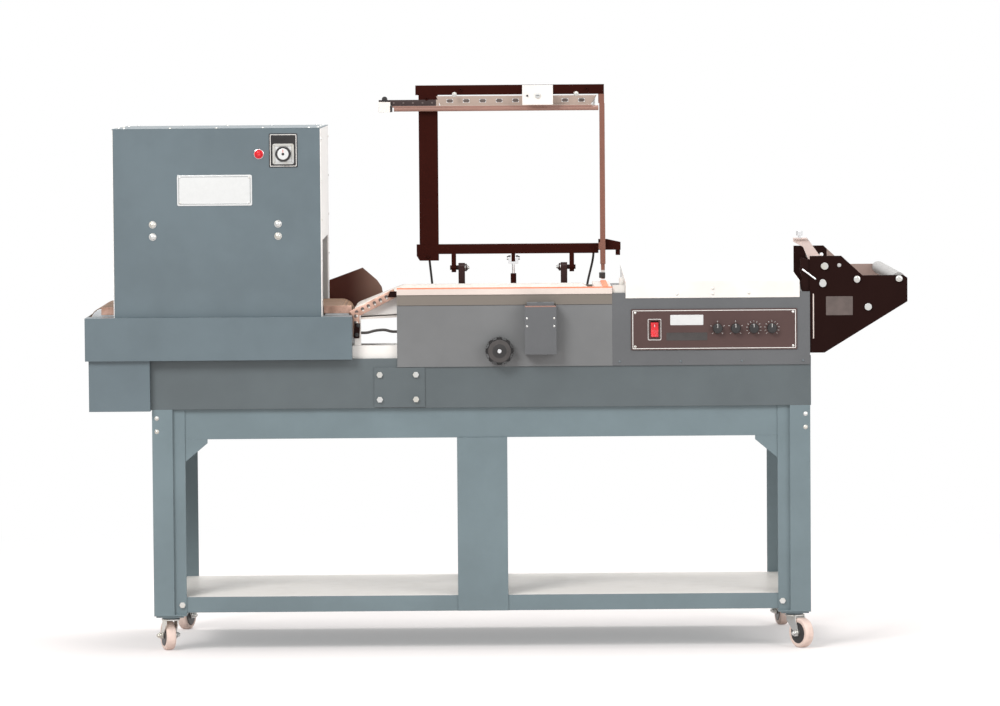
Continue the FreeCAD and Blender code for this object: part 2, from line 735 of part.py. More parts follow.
def build_blower():
    """A centrifugal wheel: back plate, inlet ring, blades and a bored hub."""
    at = ("chamber_middle_x", BLOWER_Y)
    plate = bar("blower_plate", "blower_radius", "gauge", (*at, "blower_z + blower_tall - gauge"))
    ring = minus("blower_ring", bar("ring_outer", "blower_radius", "gauge", (*at, "blower_z")),
                 bar("ring_inner", "blower_radius - 28", "3*gauge", (*at, "blower_z - gauge")))
    hub = bar("blower_hub", "14", "34", (*at, "blower_z + blower_tall - 34"))
    blades = []
    for index in range(int(value("blade_count"))):
        turn = 360 / value("blade_count") * index
        angle = math.radians(turn)
        blades.append(place(block(f"blade_{index}", ("26", "skin", "blower_tall"), ("0", "0", "0")),
                            (f"{at[0]} + (blower_radius - 27)*{math.cos(angle):.5f}",
                             f"{at[1]} + (blower_radius - 27)*{math.sin(angle):.5f}", "blower_z"),
                            ((0, 0, 1), turn)))
    whole = plus("blower_solid", plate, ring, hub, *blades)
    bore = bar("blower_bore", "blower_shaft_radius + running_gap", "blower_tall + 20", (*at, "blower_z - 10"))
    name_part(minus("BlowerWheel", whole, bore), "blower_wheel")


def build_tunnel_conveyor():
    """A belt round two rollers; side plates carry the rollers and a folded bed under the top run."""
    rollers = (("exit_roller_x", TUNNEL_ROLLER_Z, "tunnel_roller_radius"),
               ("entry_roller_x", TUNNEL_ROLLER_Z, "tunnel_roller_radius"))
    name_part(loop_slab("TunnelBelt", rollers, "belt_gap", deep("belt_front"), deep("belt_back"), "belt_thick"),
              "tunnel_belt")
    for name, x in (("drive", "exit_roller_x"), ("idler", "entry_roller_x")):
        reach = "30" if name == "drive" else "0"
        profile = (("0", "chamber_front - 4"), ("tunnel_shaft_radius", "chamber_front - 4"),
                   ("tunnel_shaft_radius", "belt_front - 4"), ("tunnel_roller_radius", "belt_front - 4"),
                   ("tunnel_roller_radius", "belt_back + 4"), ("tunnel_shaft_radius", "belt_back + 4"),
                   ("tunnel_shaft_radius", f"chamber_back + {reach}"), ("0", f"chamber_back + {reach}"))
        name_part(turned(f"TunnelRoller_{name}", profile, (x, FRONT, TUNNEL_ROLLER_Z)), f"tunnel_{name}_roller")
    members = []
    low = "beam_top_z + skin"
    for side, face in (("front", "chamber_front"), ("rear", "chamber_back - side_plate_thick")):
        plate = block(f"tunnel_side_{side}", ("base_right_x - base_left_x - 16", "side_plate_thick",
                                              "base_top_z - 4 - beam_top_z - skin"),
                      ("base_left_x + 8", deep(face), low))
        holes = [bar(f"bearing_{side}_{name}", "tunnel_shaft_radius + running_gap", "3*side_plate_thick",
                     (x, deep(f"{face} - side_plate_thick"), TUNNEL_ROLLER_Z), "Y")
                 for name, x in (("drive", "exit_roller_x"), ("idler", "entry_roller_x"))]
        members.append(minus(f"tunnel_plate_{side}", plate, *holes))
    front, back = deep("chamber_front + side_plate_thick"), deep("chamber_back - side_plate_thick")
    top = "belt_top_z - belt_thick - belt_gap"
    points = [(front, f"{top} - 58"), (f"{front} + gauge", f"{top} - 58"), (f"{front} + gauge", f"{top} - gauge"),
              (f"{back} - gauge", f"{top} - gauge"), (f"{back} - gauge", f"{top} - 58"), (back, f"{top} - 58"),
              (back, top), (front, top)]
    members.append(panel("slider_bed", "YZ", points, "entry_roller_x - exit_roller_x - 2*tunnel_roller_radius - 8",
                         ("exit_roller_x + tunnel_roller_radius + 4", "0", "0")))
    return members


def build_curtain(name, x):
    """Heat curtain: strips that hang from a bar turning on two pins."""
    pivot = "curtain_pivot_z"
    width = "(chamber_back - chamber_front - 8)"
    hem = block(f"hem_{name}", ("8", width, "16"), (f"{x} - 4", deep("chamber_front + 4"), f"{pivot} - 8"))
    pin = bar(f"curtain_pin_{name}", "curtain_pin_radius", "chamber_back - chamber_front + 2*gauge",
              (x, deep("chamber_front - gauge"), pivot), "Y")
    members = [plus(f"curtain_bar_{name}", hem, pin)]
    for index in range(int(value("curtain_count"))):
        members.append(block(f"strip_{name}_{index}", ("curtain_thick", "curtain_strip", "curtain_drop - 8"),
                             (f"{x} - curtain_thick/2",
                              deep(f"chamber_front + 6 + {index}*{width}/curtain_count"),
                              f"{pivot} - curtain_drop")))
    name_part(group(f"Curtain_{name}", *members), f"{name}_curtain")


def build_knob(label, x, face, z, radius, tall):
    """A turned control knob with its spindle, facing the front."""
    profile = (("0", f"-{tall} - 1"), (f"{radius} - 2", f"-{tall} - 1"), (f"{radius} - 0.6", f"-{tall} + 0.5"),
               (radius, "-3"), (radius, "-1"), ("spindle_radius", "-1"), ("spindle_radius", "14"), ("0", "14"))
    name_part(turned(f"Knob_{label}", profile, (x, face, z)), label)


def build_pilot_lamp():
    """A bezel and a domed lens beside the thermostat."""
    profile = (("0", "-11"), ("4", "-10.4"), ("7", "-8"), ("8.5", "-4"), ("8.5", "-3"), ("11", "-3"), ("11.5", "-2"),
               ("11.5", "0"), ("0", "0"))
    name_part(turned("PilotLamp", profile, ("lamp_x", deep("casing_front"), "thermostat_z")), "pilot_lamp")


def build_entry_guide():
    """A flat guide at the back of the tunnel's entry."""
    points = (("-440", "base_top_z"), ("-366", "base_top_z"), ("-298", "886"), ("-302", "908"), ("-314", "926"),
              ("-352", "959"), ("-440", "927"))
    name_part(panel("EntryGuide", "XZ", points, "gauge", ("0", deep("chamber_back + 3"), "0")), "entry_guide")


def build_bridge():
    """The channel between tunnel and sealer with the upright bracket of the link cable."""
    span = "body_left_x - base_right_x"
    points = [(deep("12"), "beam_top_z"), (deep("110"), "beam_top_z"), (deep("110"), "beam_top_z + 33"),
              (deep("108"), "beam_top_z + 33"), (deep("108"), "beam_top_z + skin"), (deep("14"), "beam_top_z + skin"),
              (deep("14"), "beam_top_z + 31"), (deep("34"), "beam_top_z + 31"), (deep("34"), "beam_top_z + 33"),
              (deep("12"), "beam_top_z + 33")]
    channel = panel("bridge", "YZ", points, span, ("base_right_x", "0", "0"))
    post = block("cable_post", ("16", "16", "76"), ("base_right_x + 6", deep("14"), "beam_top_z + 33"))
    name_part(group("Bridge", channel, post), "bridge_channel")


build_tunnel_base()
build_tunnel_casing()
build_tunnel_liner()
build_heaters()
build_motors()
build_blower()
tunnel_frame = build_tunnel_conveyor()
build_curtain("exit", "(casing_left_x + curtain_inset)")
build_curtain("entry", "(casing_right_x - curtain_inset)")
build_knob("thermostat_dial", "thermostat_x", deep("casing_front"), "thermostat_z", "20", "17")
build_pilot_lamp()
build_entry_guide()
build_bridge()


# ---------------------------------------------------------------- sealer body

PIVOT_Y = deep("pivot_back")
PAD_Y = deep("pivot_back - seal_up")
STAY_PLACES = (("100", "894"), ("-190", "888"))
BODY_WIDE = "body_right_x - body_left_x"


def build_sealer_body():
    """Lower panels, the upper band, the deck behind the table and the wall at the table's back edge."""
    skirt = "band_z - skirt_z"
    front = block("skirt_front", (BODY_WIDE, "gauge", skirt), ("body_left_x", deep("body_front"), "skirt_z"))
    shaft_hole = bar("handwheel_hole", "8 + running_gap", "3*gauge",
                     ("handwheel_x", deep("body_front - gauge"), "handwheel_z"), "Y")
    band = (("0", "0"), ("gauge", "0"), ("gauge", "body_top_z - band_z - gauge"),
            ("ledge", "body_top_z - band_z - gauge"), ("ledge", "body_top_z - band_z"), ("0", "body_top_z - band_z"))
    band_front = panel("band_front", "YZ", [(deep(f"body_front + {across}"), f"band_z + {up}") for across, up in band],
                       BODY_WIDE, ("body_left_x", "0", "0"))
    band_right = panel("band_right", "XZ", [(f"body_right_x - {across}", f"band_z + {up}") for across, up in band],
                       "table_back - body_front - ledge", ("0", deep("body_front + ledge"), "0"))
    deck = block("rear_deck", (BODY_WIDE, "body_back - table_back - 2*gauge", "gauge"),
                 ("body_left_x", deep("table_back + gauge"), "band_z - gauge"))
    slot = block("strut_slot", ("2*strut_radius + 8", "62", "3*gauge"),
                 ("strut_x - strut_radius - 4", f"{PIVOT_Y} - 40", "band_z - 2*gauge"))
    members = [
        minus("skirt_drilled", front, shaft_hole), band_front, band_right, minus("deck_slotted", deck, slot),
        block("skirt_rear", (BODY_WIDE, "gauge", skirt), ("body_left_x", deep("body_back - gauge"), "skirt_z")),
        block("wall_left", ("gauge", "body_back - body_front - 2*gauge", "88"),
              ("body_left_x", deep("body_front + gauge"), "beam_top_z")),
        block("wall_table", (f"{BODY_WIDE} - ledge", "gauge", "table_z - band_z - 8"),
              ("body_left_x", deep("table_back"), "band_z")),
        block("handwheel_bush", ("30", "12", "30"), ("handwheel_x - 15", deep("14"), "handwheel_z - 15")),
    ]
    name_part(group("SealerBody", *members), "sealer_body")


def build_pad_channel():
    """White trim along the front and the right side, grooved for the seal pads."""
    groove = "(pad_thick + 2)"
    low, top = "body_top_z", "table_z"
    front = [(f"{PAD_Y} - pad_wide/2 - 3", low), (deep("body_front + ledge"), low),
             (deep("body_front + ledge"), top), (f"{PAD_Y} + pad_wide/2", top), (f"{PAD_Y} + pad_wide/2", f"{top} - {groove}"),
             (f"{PAD_Y} - pad_wide/2", f"{top} - {groove}"), (f"{PAD_Y} - pad_wide/2", top),
             (f"{PAD_Y} - pad_wide/2 - 3", top)]
    side = [("body_right_x - ledge", low), ("body_right_x", low), ("body_right_x", top),
            ("side_bar_x + pad_wide/2", top), ("side_bar_x + pad_wide/2", f"{top} - {groove}"),
            ("side_bar_x - pad_wide/2", f"{top} - {groove}"), ("side_bar_x - pad_wide/2", top),
            ("body_right_x - ledge", top)]
    name_part(group("PadChannel",
                    panel("channel_front", "YZ", front, BODY_WIDE, ("body_left_x", "0", "0")),
                    panel("channel_side", "XZ", side, "table_back - body_front - ledge",
                          ("0", deep("body_front + ledge"), "0"))), "pad_channel")


def build_seal_pads():
    """Silicone pads that lie in the grooves and stand above them."""
    deep_pad = "2*pad_thick + 2"
    low = "table_z - pad_thick - 2"
    front = block("pad_front", (BODY_WIDE, "pad_wide", deep_pad), ("body_left_x", f"{PAD_Y} - pad_wide/2", low))
    side = block("pad_side", ("pad_wide", "table_back - body_front - ledge", deep_pad),
                 ("side_bar_x - pad_wide/2", deep("body_front + ledge"), low))
    name_part(group("SealPads", front, side), "seal_pads")


def build_sealer_conveyor():
    """A mesh belt that runs level over the table and slopes down to the tunnel's belt."""
    rollers = (("sealer_drive_x", "sealer_drive_z", "sealer_roller_radius"), ("nose_x", "nose_z", "nose_radius"),
               ("knee_x", "knee_z", "knee_radius"))
    name_part(loop_slab("SealerBelt", rollers, "belt_gap", deep("mesh_front"), deep("mesh_back"), "mesh_thick"),
              "sealer_belt")
    members = []
    plates = (("front", "mesh_front + 12"), ("rear", "mesh_back - 18"))
    for side, face in plates:
        slab = loop_slab(f"sealer_side_{side}", rollers, "-2.5", deep(face), deep(f"{face} + side_plate_thick"))
        holes = [bar(f"sealer_bearing_{side}_{name}", "roller_shaft_radius + running_gap", "3*side_plate_thick",
                     (x, deep(f"{face} - side_plate_thick"), z), "Y")
                 for name, x, z in (("drive", "sealer_drive_x", "sealer_drive_z"), ("nose", "nose_x", "nose_z"))]
        members.append(minus(f"sealer_plate_{side}", slab, *holes))
    inner_front, inner_back = "mesh_front + 12 + side_plate_thick", "mesh_back - 18"
    members.append(bar("knee_bar", "knee_radius - 0.2", f"{inner_back} - ({inner_front})",
                       ("knee_x", deep(inner_front), "knee_z"), "Y"))
    for index, (x, z) in enumerate(STAY_PLACES):
        stays = (("front", "body_front + gauge", "mesh_front + 12"), ("rear", "mesh_back - 12", "table_back"))
        for side, start, end in stays:
            members.append(bar(f"stay_{index}_{side}", "7", f"{end} - ({start})", (x, deep(start), z), "Y"))
    for name, x, z, radius in (("drive", "sealer_drive_x", "sealer_drive_z", "sealer_roller_radius"),
                               ("nose", "nose_x", "nose_z", "nose_radius")):
        shaft = "roller_shaft_radius"
        profile = (("0", "mesh_front + 13"), (shaft, "mesh_front + 13"), (shaft, f"{inner_front} + 1.5"),
                   (radius, f"{inner_front} + 1.5"), (radius, f"{inner_back} - 1.5"), (shaft, f"{inner_back} - 1.5"),
                   (shaft, "mesh_back - 13"), ("0", "mesh_back - 13"))
        name_part(turned(f"SealerRoller_{name}", profile, (x, FRONT, z)), f"sealer_{name}_roller")
    return members


# ---------------------------------------------------------------- control box

def spindle_holes(name, radius, start, length):
    """One hole for each control knob."""
    return [bar(f"{name}_{index}", radius, length, (f"knob_x + {index}*knob_pitch", start, "knob_z"), "Y")
            for index in range(4)]


def build_control_box():
    """A folded housing, open below, that sits round the beam's end."""
    wide = "box_right_x - body_right_x"
    outer = block("box_outer", (wide, "body_back - body_front", "box_top_z - skirt_z"),
                  ("body_right_x", deep("body_front"), "skirt_z"))
    room = block("box_room", (f"{wide} - 2*skin", "body_back - body_front - 2*skin", "box_top_z - skirt_z"),
                 ("body_right_x + skin", deep("body_front + skin"), "skirt_z - skin"))
    notches = [block(f"beam_notch_{index}", ("4*skin", "stand_depth + 2", "beam_top_z - skirt_z + 5"),
                     (x, deep("-1"), "skirt_z - 5")) for index, x in enumerate(("body_right_x - skin", "box_right_x - 3*skin"))]
    switch_hole = block("switch_hole", ("rocker_wide + 3", "4*skin", "rocker_tall + 4"),
                        ("rocker_x - rocker_wide/2 - 1.5", deep("body_front - skin"), "rocker_z - rocker_tall/2 - 2"))
    name_part(minus("ControlBox", outer, room, *notches, switch_hole,
                    *spindle_holes("box_hole", "spindle_radius + 2", deep("body_front - skin"), "4*skin")), "control_box")


def build_control_panel():
    """The panel plate, the rocker's bezel and the potentiometers and switch body behind it."""
    face = "body_front - panel_thick"
    plate = block("panel_blank", ("panel_right_x - panel_left_x", "panel_thick", "panel_tall"),
                  ("panel_left_x", deep(face), "panel_z"))
    hole = block("rocker_hole", ("rocker_wide + 1.5", "20", "rocker_tall + 4"),
                 ("rocker_x - rocker_wide/2 - 0.75", deep(f"{face} - 8"), "rocker_z - rocker_tall/2 - 2"))
    bezel = block("bezel_blank", ("rocker_wide + 9", "gauge", "rocker_tall + 11"),
                  ("rocker_x - rocker_wide/2 - 4.5", deep(f"{face} - gauge"), "rocker_z - rocker_tall/2 - 5.5"))
    members = [minus("panel_plate", plate, hole,
                     *spindle_holes("panel_hole", "spindle_radius + running_gap", deep(f"{face} - 2"), "8")),
               minus("rocker_bezel", bezel, hole),
               block("switch_body", ("rocker_wide + 3", "24", "rocker_tall"),
                     ("rocker_x - rocker_wide/2 - 1.5", deep("body_front + 12"), "rocker_z - rocker_tall/2"))]
    for index in range(4):
        members.append(bar(f"potentiometer_{index}", "11", "16",
                           (f"knob_x + {index}*knob_pitch", deep("body_front + 14"), "knob_z"), "Y"))
    name_part(group("ControlPanel", *members), "control_panel")


def build_power_rocker():
    """A rocker with two facets, modelled pressed to its lit side."""
    half = "rocker_tall/2"
    points = (("-7", half), ("-3.6", "0"), ("-7", f"-{half}"), ("1", f"-{half} + 1"), ("8", "-7"), ("8", "7"),
              ("1", f"{half} - 1"))
    name_part(panel("PowerRocker", "YZ", points, "rocker_wide",
                    ("rocker_x - rocker_wide/2", deep("body_front - panel_thick - 1"), "rocker_z"), ((1, 0, 0), 7)),
              "power_rocker")


def build_magnet():
    """The latch magnet in its housing in front of the body."""
    face = "body_front - magnet_deep"
    outer = block("magnet_outer", ("magnet_wide", "magnet_deep", "magnet_tall"),
                  ("magnet_x", deep(face), "magnet_z"))
    room = block("magnet_room", ("magnet_wide - 2*skin", "magnet_deep - 2*skin", "magnet_tall"),
                 ("magnet_x + skin", deep(f"{face} + skin"), "magnet_z + skin"))
    core = block("magnet_core", ("magnet_wide - 12", "magnet_deep - 7", "magnet_face_z - magnet_z - skin"),
                 ("magnet_x + 6", deep(f"{face} + 3.5"), "magnet_z + skin"))
    bolt_room = bar("catch_bolt_room", "10", "8", ("catch_x + catch_wide/2", deep("pivot_back - 451"),
                                                   "magnet_face_z - 6"))
    name_part(group("MagnetHousing", minus("magnet_case", outer, room), minus("magnet_face", core, bolt_room)),
              "magnet_housing")


def build_handwheel():
    """A lobed hand wheel on a short shaft through the front skirt."""
    face = deep("body_front")
    hub_profile = (("0", "-34"), ("8", "-34"), ("11", "-31"), ("12", "-26"), ("handwheel_radius - 9", "-26"),
                   ("handwheel_radius - 6", "-23"), ("handwheel_radius - 6", "-13"), ("handwheel_radius - 9", "-10"),
                   ("14", "-10"), ("14", "-1"), ("8", "-1"), ("8", "17"), ("0", "17"))
    wheel = turned("handwheel_disc", hub_profile, ("handwheel_x", face, "handwheel_z"))
    lobes = []
    for index in range(8):
        angle = 2 * math.pi * index / 8
        lobes.append(bar(f"lobe_{index}", "8", "12",
                         (f"handwheel_x + (handwheel_radius - 8)*{math.cos(angle):.5f}", f"{face} - 24",
                          f"handwheel_z + (handwheel_radius - 8)*{math.sin(angle):.5f}"), "Y"))
    name_part(plus("Handwheel", wheel, *lobes), "handwheel")


# ---------------------------------------------------------------- seal arm, raised

def at_arm(out, up):
    """A place beside the pivot: how far out to the front, and how far up, in the raised arm."""
    return f"{PIVOT_Y} - ({out})", f"pivot_z + {up}" if not str(up).startswith("-") else f"pivot_z {up}"


def arm_block(name, x, wide, out, thick, up, tall):
    """A box in the raised arm; out is the distance to its front face."""
    y, z = at_arm(out, up)
    return block(name, (wide, thick, tall), (x, y, z))


def build_arm_frame():
    """Side arm, corner block, hinge bar with its tapered end, front bar, and the lugs of hinge and strut."""
    half = "tube/2"
    members = [
        arm_block("side_arm", "arm_left_x", "arm_wide", half, "tube", "hinge_bar_up + tube",
                  "front_bar_up - hinge_bar_up - tube"),
        arm_block("front_bar", "arm_left_x - 8", "front_bar_right_x - arm_left_x + 8", half, "tube", "front_bar_up",
                  "tube"),
        arm_block("hinge_bar", "arm_left_x + arm_wide", "arm_right_x - arm_left_x - arm_wide", half, "tube",
                  "hinge_bar_up", "tube"),
        arm_block("strut_lug", "strut_x - 5", "10", "8", "16", "strut_up - 9", "hinge_bar_up - strut_up + 9"),
    ]
    corner = (("arm_left_x + arm_wide", "corner_up"), ("arm_left_x + arm_wide", "hinge_bar_up + tube"),
              ("arm_left_x - 8", "hinge_bar_up + tube"), ("arm_left_x - 8", "hinge_bar_up - 4"),
              ("arm_left_x", "corner_up"))
    tip = (("arm_right_x", "bar_end_up"), ("bar_end_x", "bar_end_up"), ("bar_end_x", "bar_end_up + 20"),
           ("bar_end_x - 36", "bar_end_up + 28"), ("arm_right_x", "bar_end_up + 28"))
    for name, outline in (("corner_block", corner), ("bar_end", tip)):
        members.append(panel(name, "XZ", [(x, f"pivot_z + {up}") for x, up in outline], "tube",
                             ("0", f"{PIVOT_Y} - tube/2", "0")))
    members.append(bar("bar_bumper", "6", "14", ("bar_end_x - 7", PIVOT_Y, "pivot_z + bar_end_up - 14")))
    for side, x in (("left", "left_lug_x"), ("right", "right_lug_x")):
        points = [at_arm(out, up) for out, up in (
            ("tube/2", "hinge_bar_up"), ("tube/2", "0"), ("7", "-12"), ("-7", "-12"), ("-tube/2", "0"),
            ("-tube/2", "hinge_bar_up"))]
        lug = panel(f"lug_{side}", "YZ", points, "lug_thick", (x, "0", "0"))
        bore = bar(f"lug_bore_{side}", "pivot_radius + running_gap", "3*lug_thick",
                   (f"{x} - lug_thick", PIVOT_Y, "pivot_z"), "X")
        members.append(minus(f"lug_{side}_bored", lug, bore))
    name_part(group("ArmFrame", *members), "arm_frame")


def build_front_seal_bar():
    """Seal rod along the front with its holder plate, lip and insulating end block."""
    left = "arm_left_x - 104"
    plate_left, plate_right = "arm_left_x + arm_wide - 4", "holder_right_x"
    low, high = "pivot_z + holder_up", "pivot_z + front_bar_up - 3"
    outline = [(f"{plate_left} + 12", low), (f"{plate_right} - 16", low), (plate_right, high)]
    for hanger in ("212", "-106"):
        outline += [(f"{hanger} + 6", high), (f"{hanger} + 6", f"{high} + 9"), (f"{hanger} - 6", f"{high} + 9"),
                    (f"{hanger} - 6", high)]
    outline.append((plate_left, high))
    outline = [(x.replace("-106", "0 - 106"), up) for x, up in outline]
    face = at_arm("tube/2 + gauge", "0")[0]
    holder = panel("holder_plate", "XZ", outline, "gauge", ("0", face, "0"))
    slots = [arm_block(f"holder_slot_{index}", f"-126.5 + {index}*43", "17", "tube/2 + 2*gauge", "4*gauge",
                       "holder_up + 8", "9") for index in range(9)]
    clamp = arm_block("clamp_arm", left, f"{plate_left} + 8 - ({left})", "tube/2 + gauge", "gauge", "holder_up", "16")
    lip = arm_block("holder_lip", left, "254 - arm_left_x + 104", "seal_out + 6", "seal_out + 6 - tube/2",
                    "seal_up + 4", "5")
    rod = bar("seal_rod", "seal_rod_radius", "534", ("-264", *at_arm("seal_out", "seal_up")), "X")
    end = arm_block("end_block", left, "31", "seal_out + 11", "22", "seal_up - 8", "27")
    name_part(plus("FrontSealBar", minus("holder_punched", holder, *slots), clamp, lip, rod, end),
              "front_seal_bar")


def build_side_seal_bar():
    """Seal bar of the right side, its two end brackets and the clip with the bar's free end."""
    half = "side_bar_thick/2"
    members = [
        arm_block("side_bar", "side_bar_x - side_bar_thick/2", "side_bar_thick", f"seal_out + {half}",
                  "side_bar_thick", "8", "420"),
        arm_block("side_top", "side_bar_x - 9", "15", f"seal_out + {half}", f"seal_out + {half} + tube/2", "428",
                  "front_bar_up - 428"),
        arm_block("side_low", "arm_right_x", "18", f"seal_out + {half}", f"seal_out + {half} - tube/2", "46", "18"),
        arm_block("side_clip", "side_bar_x - 5", "10", "seal_out + 5", "10", "-32", "40"),
    ]
    name_part(plus("SideSealBar", *members), "side_seal_bar")


def build_catch_plate():
    """The plate that the magnet holds, on two posts from the front bar."""
    plate = arm_block("catch_blank", "catch_x", "catch_wide - 1", "catch_out - 0.5", "5", "425", "52")
    posts = [arm_block(f"catch_post_{index}", x, "12", "catch_out - 5.5", "catch_out - 5.5 - tube/2 - gauge", "456",
                       "14")
             for index, x in enumerate(("catch_x + 8", "catch_x + catch_wide - 21"))]
    head = bar("catch_bolt", "7", "4", ("catch_x + catch_wide/2", at_arm("catch_out + 3.5", "0")[0], "pivot_z + 451"),
               "Y")
    name_part(plus("CatchPlate", plate, *posts, head), "catch_plate")


def build_strut():
    """A lift strut: a cylinder that swings on a foot pin in the body, and its rod with a forked head."""
    foot_z = "strut_foot_z"
    tube_low = f"{foot_z} + 14"
    cylinder = bar("strut_tube", "strut_radius", f"strut_top_z - ({tube_low})", ("strut_x", PIVOT_Y, tube_low))
    eye = block("strut_eye", ("10", "16", "26"), ("strut_x - 5", f"{PIVOT_Y} - 8", f"{foot_z} - 8"))
    pin_hole = bar("strut_pin_hole", "4 + running_gap", "40", ("strut_x - 20", PIVOT_Y, foot_z), "X")
    room = bar("strut_bore", "strut_rod_radius + running_gap", "200", ("strut_x", PIVOT_Y, f"{tube_low} + 12"))
    name_part(minus("StrutCylinder", plus("strut_body", cylinder, eye), pin_hole, room), "strut_cylinder")
    head_z = "pivot_z + strut_up"
    rod = bar("strut_rod_bar", "strut_rod_radius", f"{head_z} - 14 - ({tube_low} + 12 + 26)",
              ("strut_x", PIVOT_Y, f"{tube_low} + 12 + 26"))
    cross = block("strut_cross", ("26", "14", "5"), ("strut_x - 13", f"{PIVOT_Y} - 7", f"{head_z} - 15"))
    ears = [plus(f"strut_ear_{index}",
                 block(f"ear_flat_{index}", ("6", "14", "11"), (x, f"{PIVOT_Y} - 7", f"{head_z} - 11")),
                 bar(f"ear_round_{index}", "7", "6", (x, PIVOT_Y, head_z), "X"),
                 bar(f"ear_nut_{index}", "5", "4", (nut, PIVOT_Y, head_z), "X"))
            for index, (x, nut) in enumerate((("strut_x - 13", "strut_x - 17"), ("strut_x + 7", "strut_x + 13")))]
    name_part(plus("StrutRod", rod, cross, *ears), "strut_rod")


def build_table_brackets():
    """Hinge blocks with their pins, the strut's foot bracket and the peg bracket."""
    members = []
    for side, x, pin_x in (("left", "left_lug_x + lug_thick + bracket_gap", "left_lug_x - 4"),
                           ("right", "right_lug_x - bracket_gap - bracket_thick",
                            "right_lug_x - bracket_gap - bracket_thick - 4")):
        outline = [(f"{PIVOT_Y} + {across}", up) for across, up in (
            ("-18", "band_z"), ("22", "band_z"), ("22", "band_z + 8"), ("15", "band_z + 14"), ("13", "pivot_z + 4"),
            ("6", "pivot_z + 12"), ("-6", "pivot_z + 12"), ("-13", "pivot_z + 4"), ("-15", "band_z + 8"),
            ("-18", "band_z + 6"))]
        outline = [(across.replace("+ -", "- "), up) for across, up in outline]
        members.append(plus(f"hinge_{side}", panel(f"hinge_block_{side}", "YZ", outline, "bracket_thick", (x, "0", "0")),
                            bar(f"hinge_pin_{side}", "pivot_radius", "lug_thick + bracket_gap + bracket_thick + 8",
                                (pin_x, PIVOT_Y, "pivot_z"), "X"),
                            bar(f"hinge_nut_{side}", "10", "5",
                                (f"{x} + bracket_thick" if side == "left" else f"{x} - 5", PIVOT_Y, "pivot_z"), "X")))
    cheeks = [block(f"strut_cheek_{index}", ("5", "24", "strut_foot_z + 12 - beam_top_z"),
                    (x, f"{PIVOT_Y} - 12", "beam_top_z")) for index, x in enumerate(("strut_x - 11", "strut_x + 6"))]
    members.append(plus("strut_foot", *cheeks,
                        bar("strut_pin", "4", "30", ("strut_x - 15", PIVOT_Y, "strut_foot_z"), "X")))
    members.append(plus("peg_bracket", block("peg_foot", ("32", "26", "4"), ("body_right_x + 1", deep("2"), "box_top_z")),
                        block("peg_wall", ("32", "3", "20"), ("body_right_x + 1", deep("2"), "box_top_z")),
                        bar("peg", "6", "38", ("body_right_x + 24", deep("15"), "box_top_z"))))
    name_part(group("TableBrackets", *members), "table_brackets")


# ---------------------------------------------------------------- tray and cradle

def build_tray():
    """The product tray: a sheet with a front lip, rising to the back, on two side flanges."""
    front, lip = deep("body_front - skin"), "tray_lip_z"
    rise_y = deep("body_front - skin + tray_deep")
    sheet_points = [(front, lip), (f"{front} + skin", lip), (f"{front} + skin", "tray_z - skin"),
                    (rise_y, "tray_z + tray_rise - skin"), (rise_y, "tray_z + tray_rise"), (front, "tray_z")]
    top = panel("tray_sheet", "YZ", sheet_points, "tray_right_x - tray_left_x", ("tray_left_x", "0", "0"))
    flange_points = [(f"{front} + skin", "box_top_z"), (deep("body_back"), "box_top_z"),
                     (deep("body_back"), "tray_z + tray_rise*0.9 - skin"), (f"{front} + skin", "tray_z - skin")]
    sides = [panel(f"tray_flange_{index}", "YZ", flange_points, "skin", (x, "0", "0"))
             for index, x in enumerate(("tray_left_x", "tray_right_x - skin"))]
    name_part(plus("ProductTray", top, *sides), "product_tray")


def build_cradle():
    """Two shaped side plates on a mounting plate, drilled for the rollers' axles."""
    outline = (("cradle_x", "cradle_z"), ("833", "cradle_z"), ("cradle_right_x", "883"), ("cradle_right_x", "943"),
               ("1034", "950"), ("930", "950"), ("876", "cradle_top_z"), ("cradle_x", "cradle_top_z"))
    members = []
    for side, face in (("near", "0"), ("far", "cradle_deep - gauge")):
        plate = panel(f"cradle_{side}_blank", "XZ", outline, "gauge", ("0", deep(face), "0"))
        holes = [bar(f"cradle_hole_{side}_{index}", "roller_shaft_radius + running_gap", "3*gauge",
                     (x, deep(f"{face} - gauge") if side == "far" else deep("-gauge"), "film_roller_z"), "Y")
                 for index, x in enumerate(("film_roller_left_x", "film_roller_right_x"))]
        holes.append(bar(f"cradle_eye_{side}", "5", "3*gauge",
                         ("871", deep(f"{face} - gauge") if side == "far" else deep("-gauge"), "976"), "Y"))
        members.append(minus(f"cradle_{side}", plate, *holes))
    members.append(block("cradle_mount", ("gauge", "cradle_deep - 2*gauge", "box_top_z - cradle_z - 4"),
                         ("cradle_x", deep("gauge"), "cradle_z")))
    name_part(group("CradlePlates", *members), "cradle_plates")


def build_tie_rods():
    """Two tie rods and the rod that the film guide slides on, with their bolt heads."""
    members = []
    for name, x, z in (("low", "944", "870"), ("middle", "829", "930"), ("guide", "guide_rod_x", "guide_rod_z")):
        members.append(bar(f"rod_{name}", "cradle_rod_radius", "cradle_deep - 2*gauge", (x, deep("gauge"), z), "Y"))
        members.append(bar(f"rod_head_{name}", "9", "6", (x, deep("-6"), z), "Y"))
    name_part(group("TieRods", *members), "tie_rods")


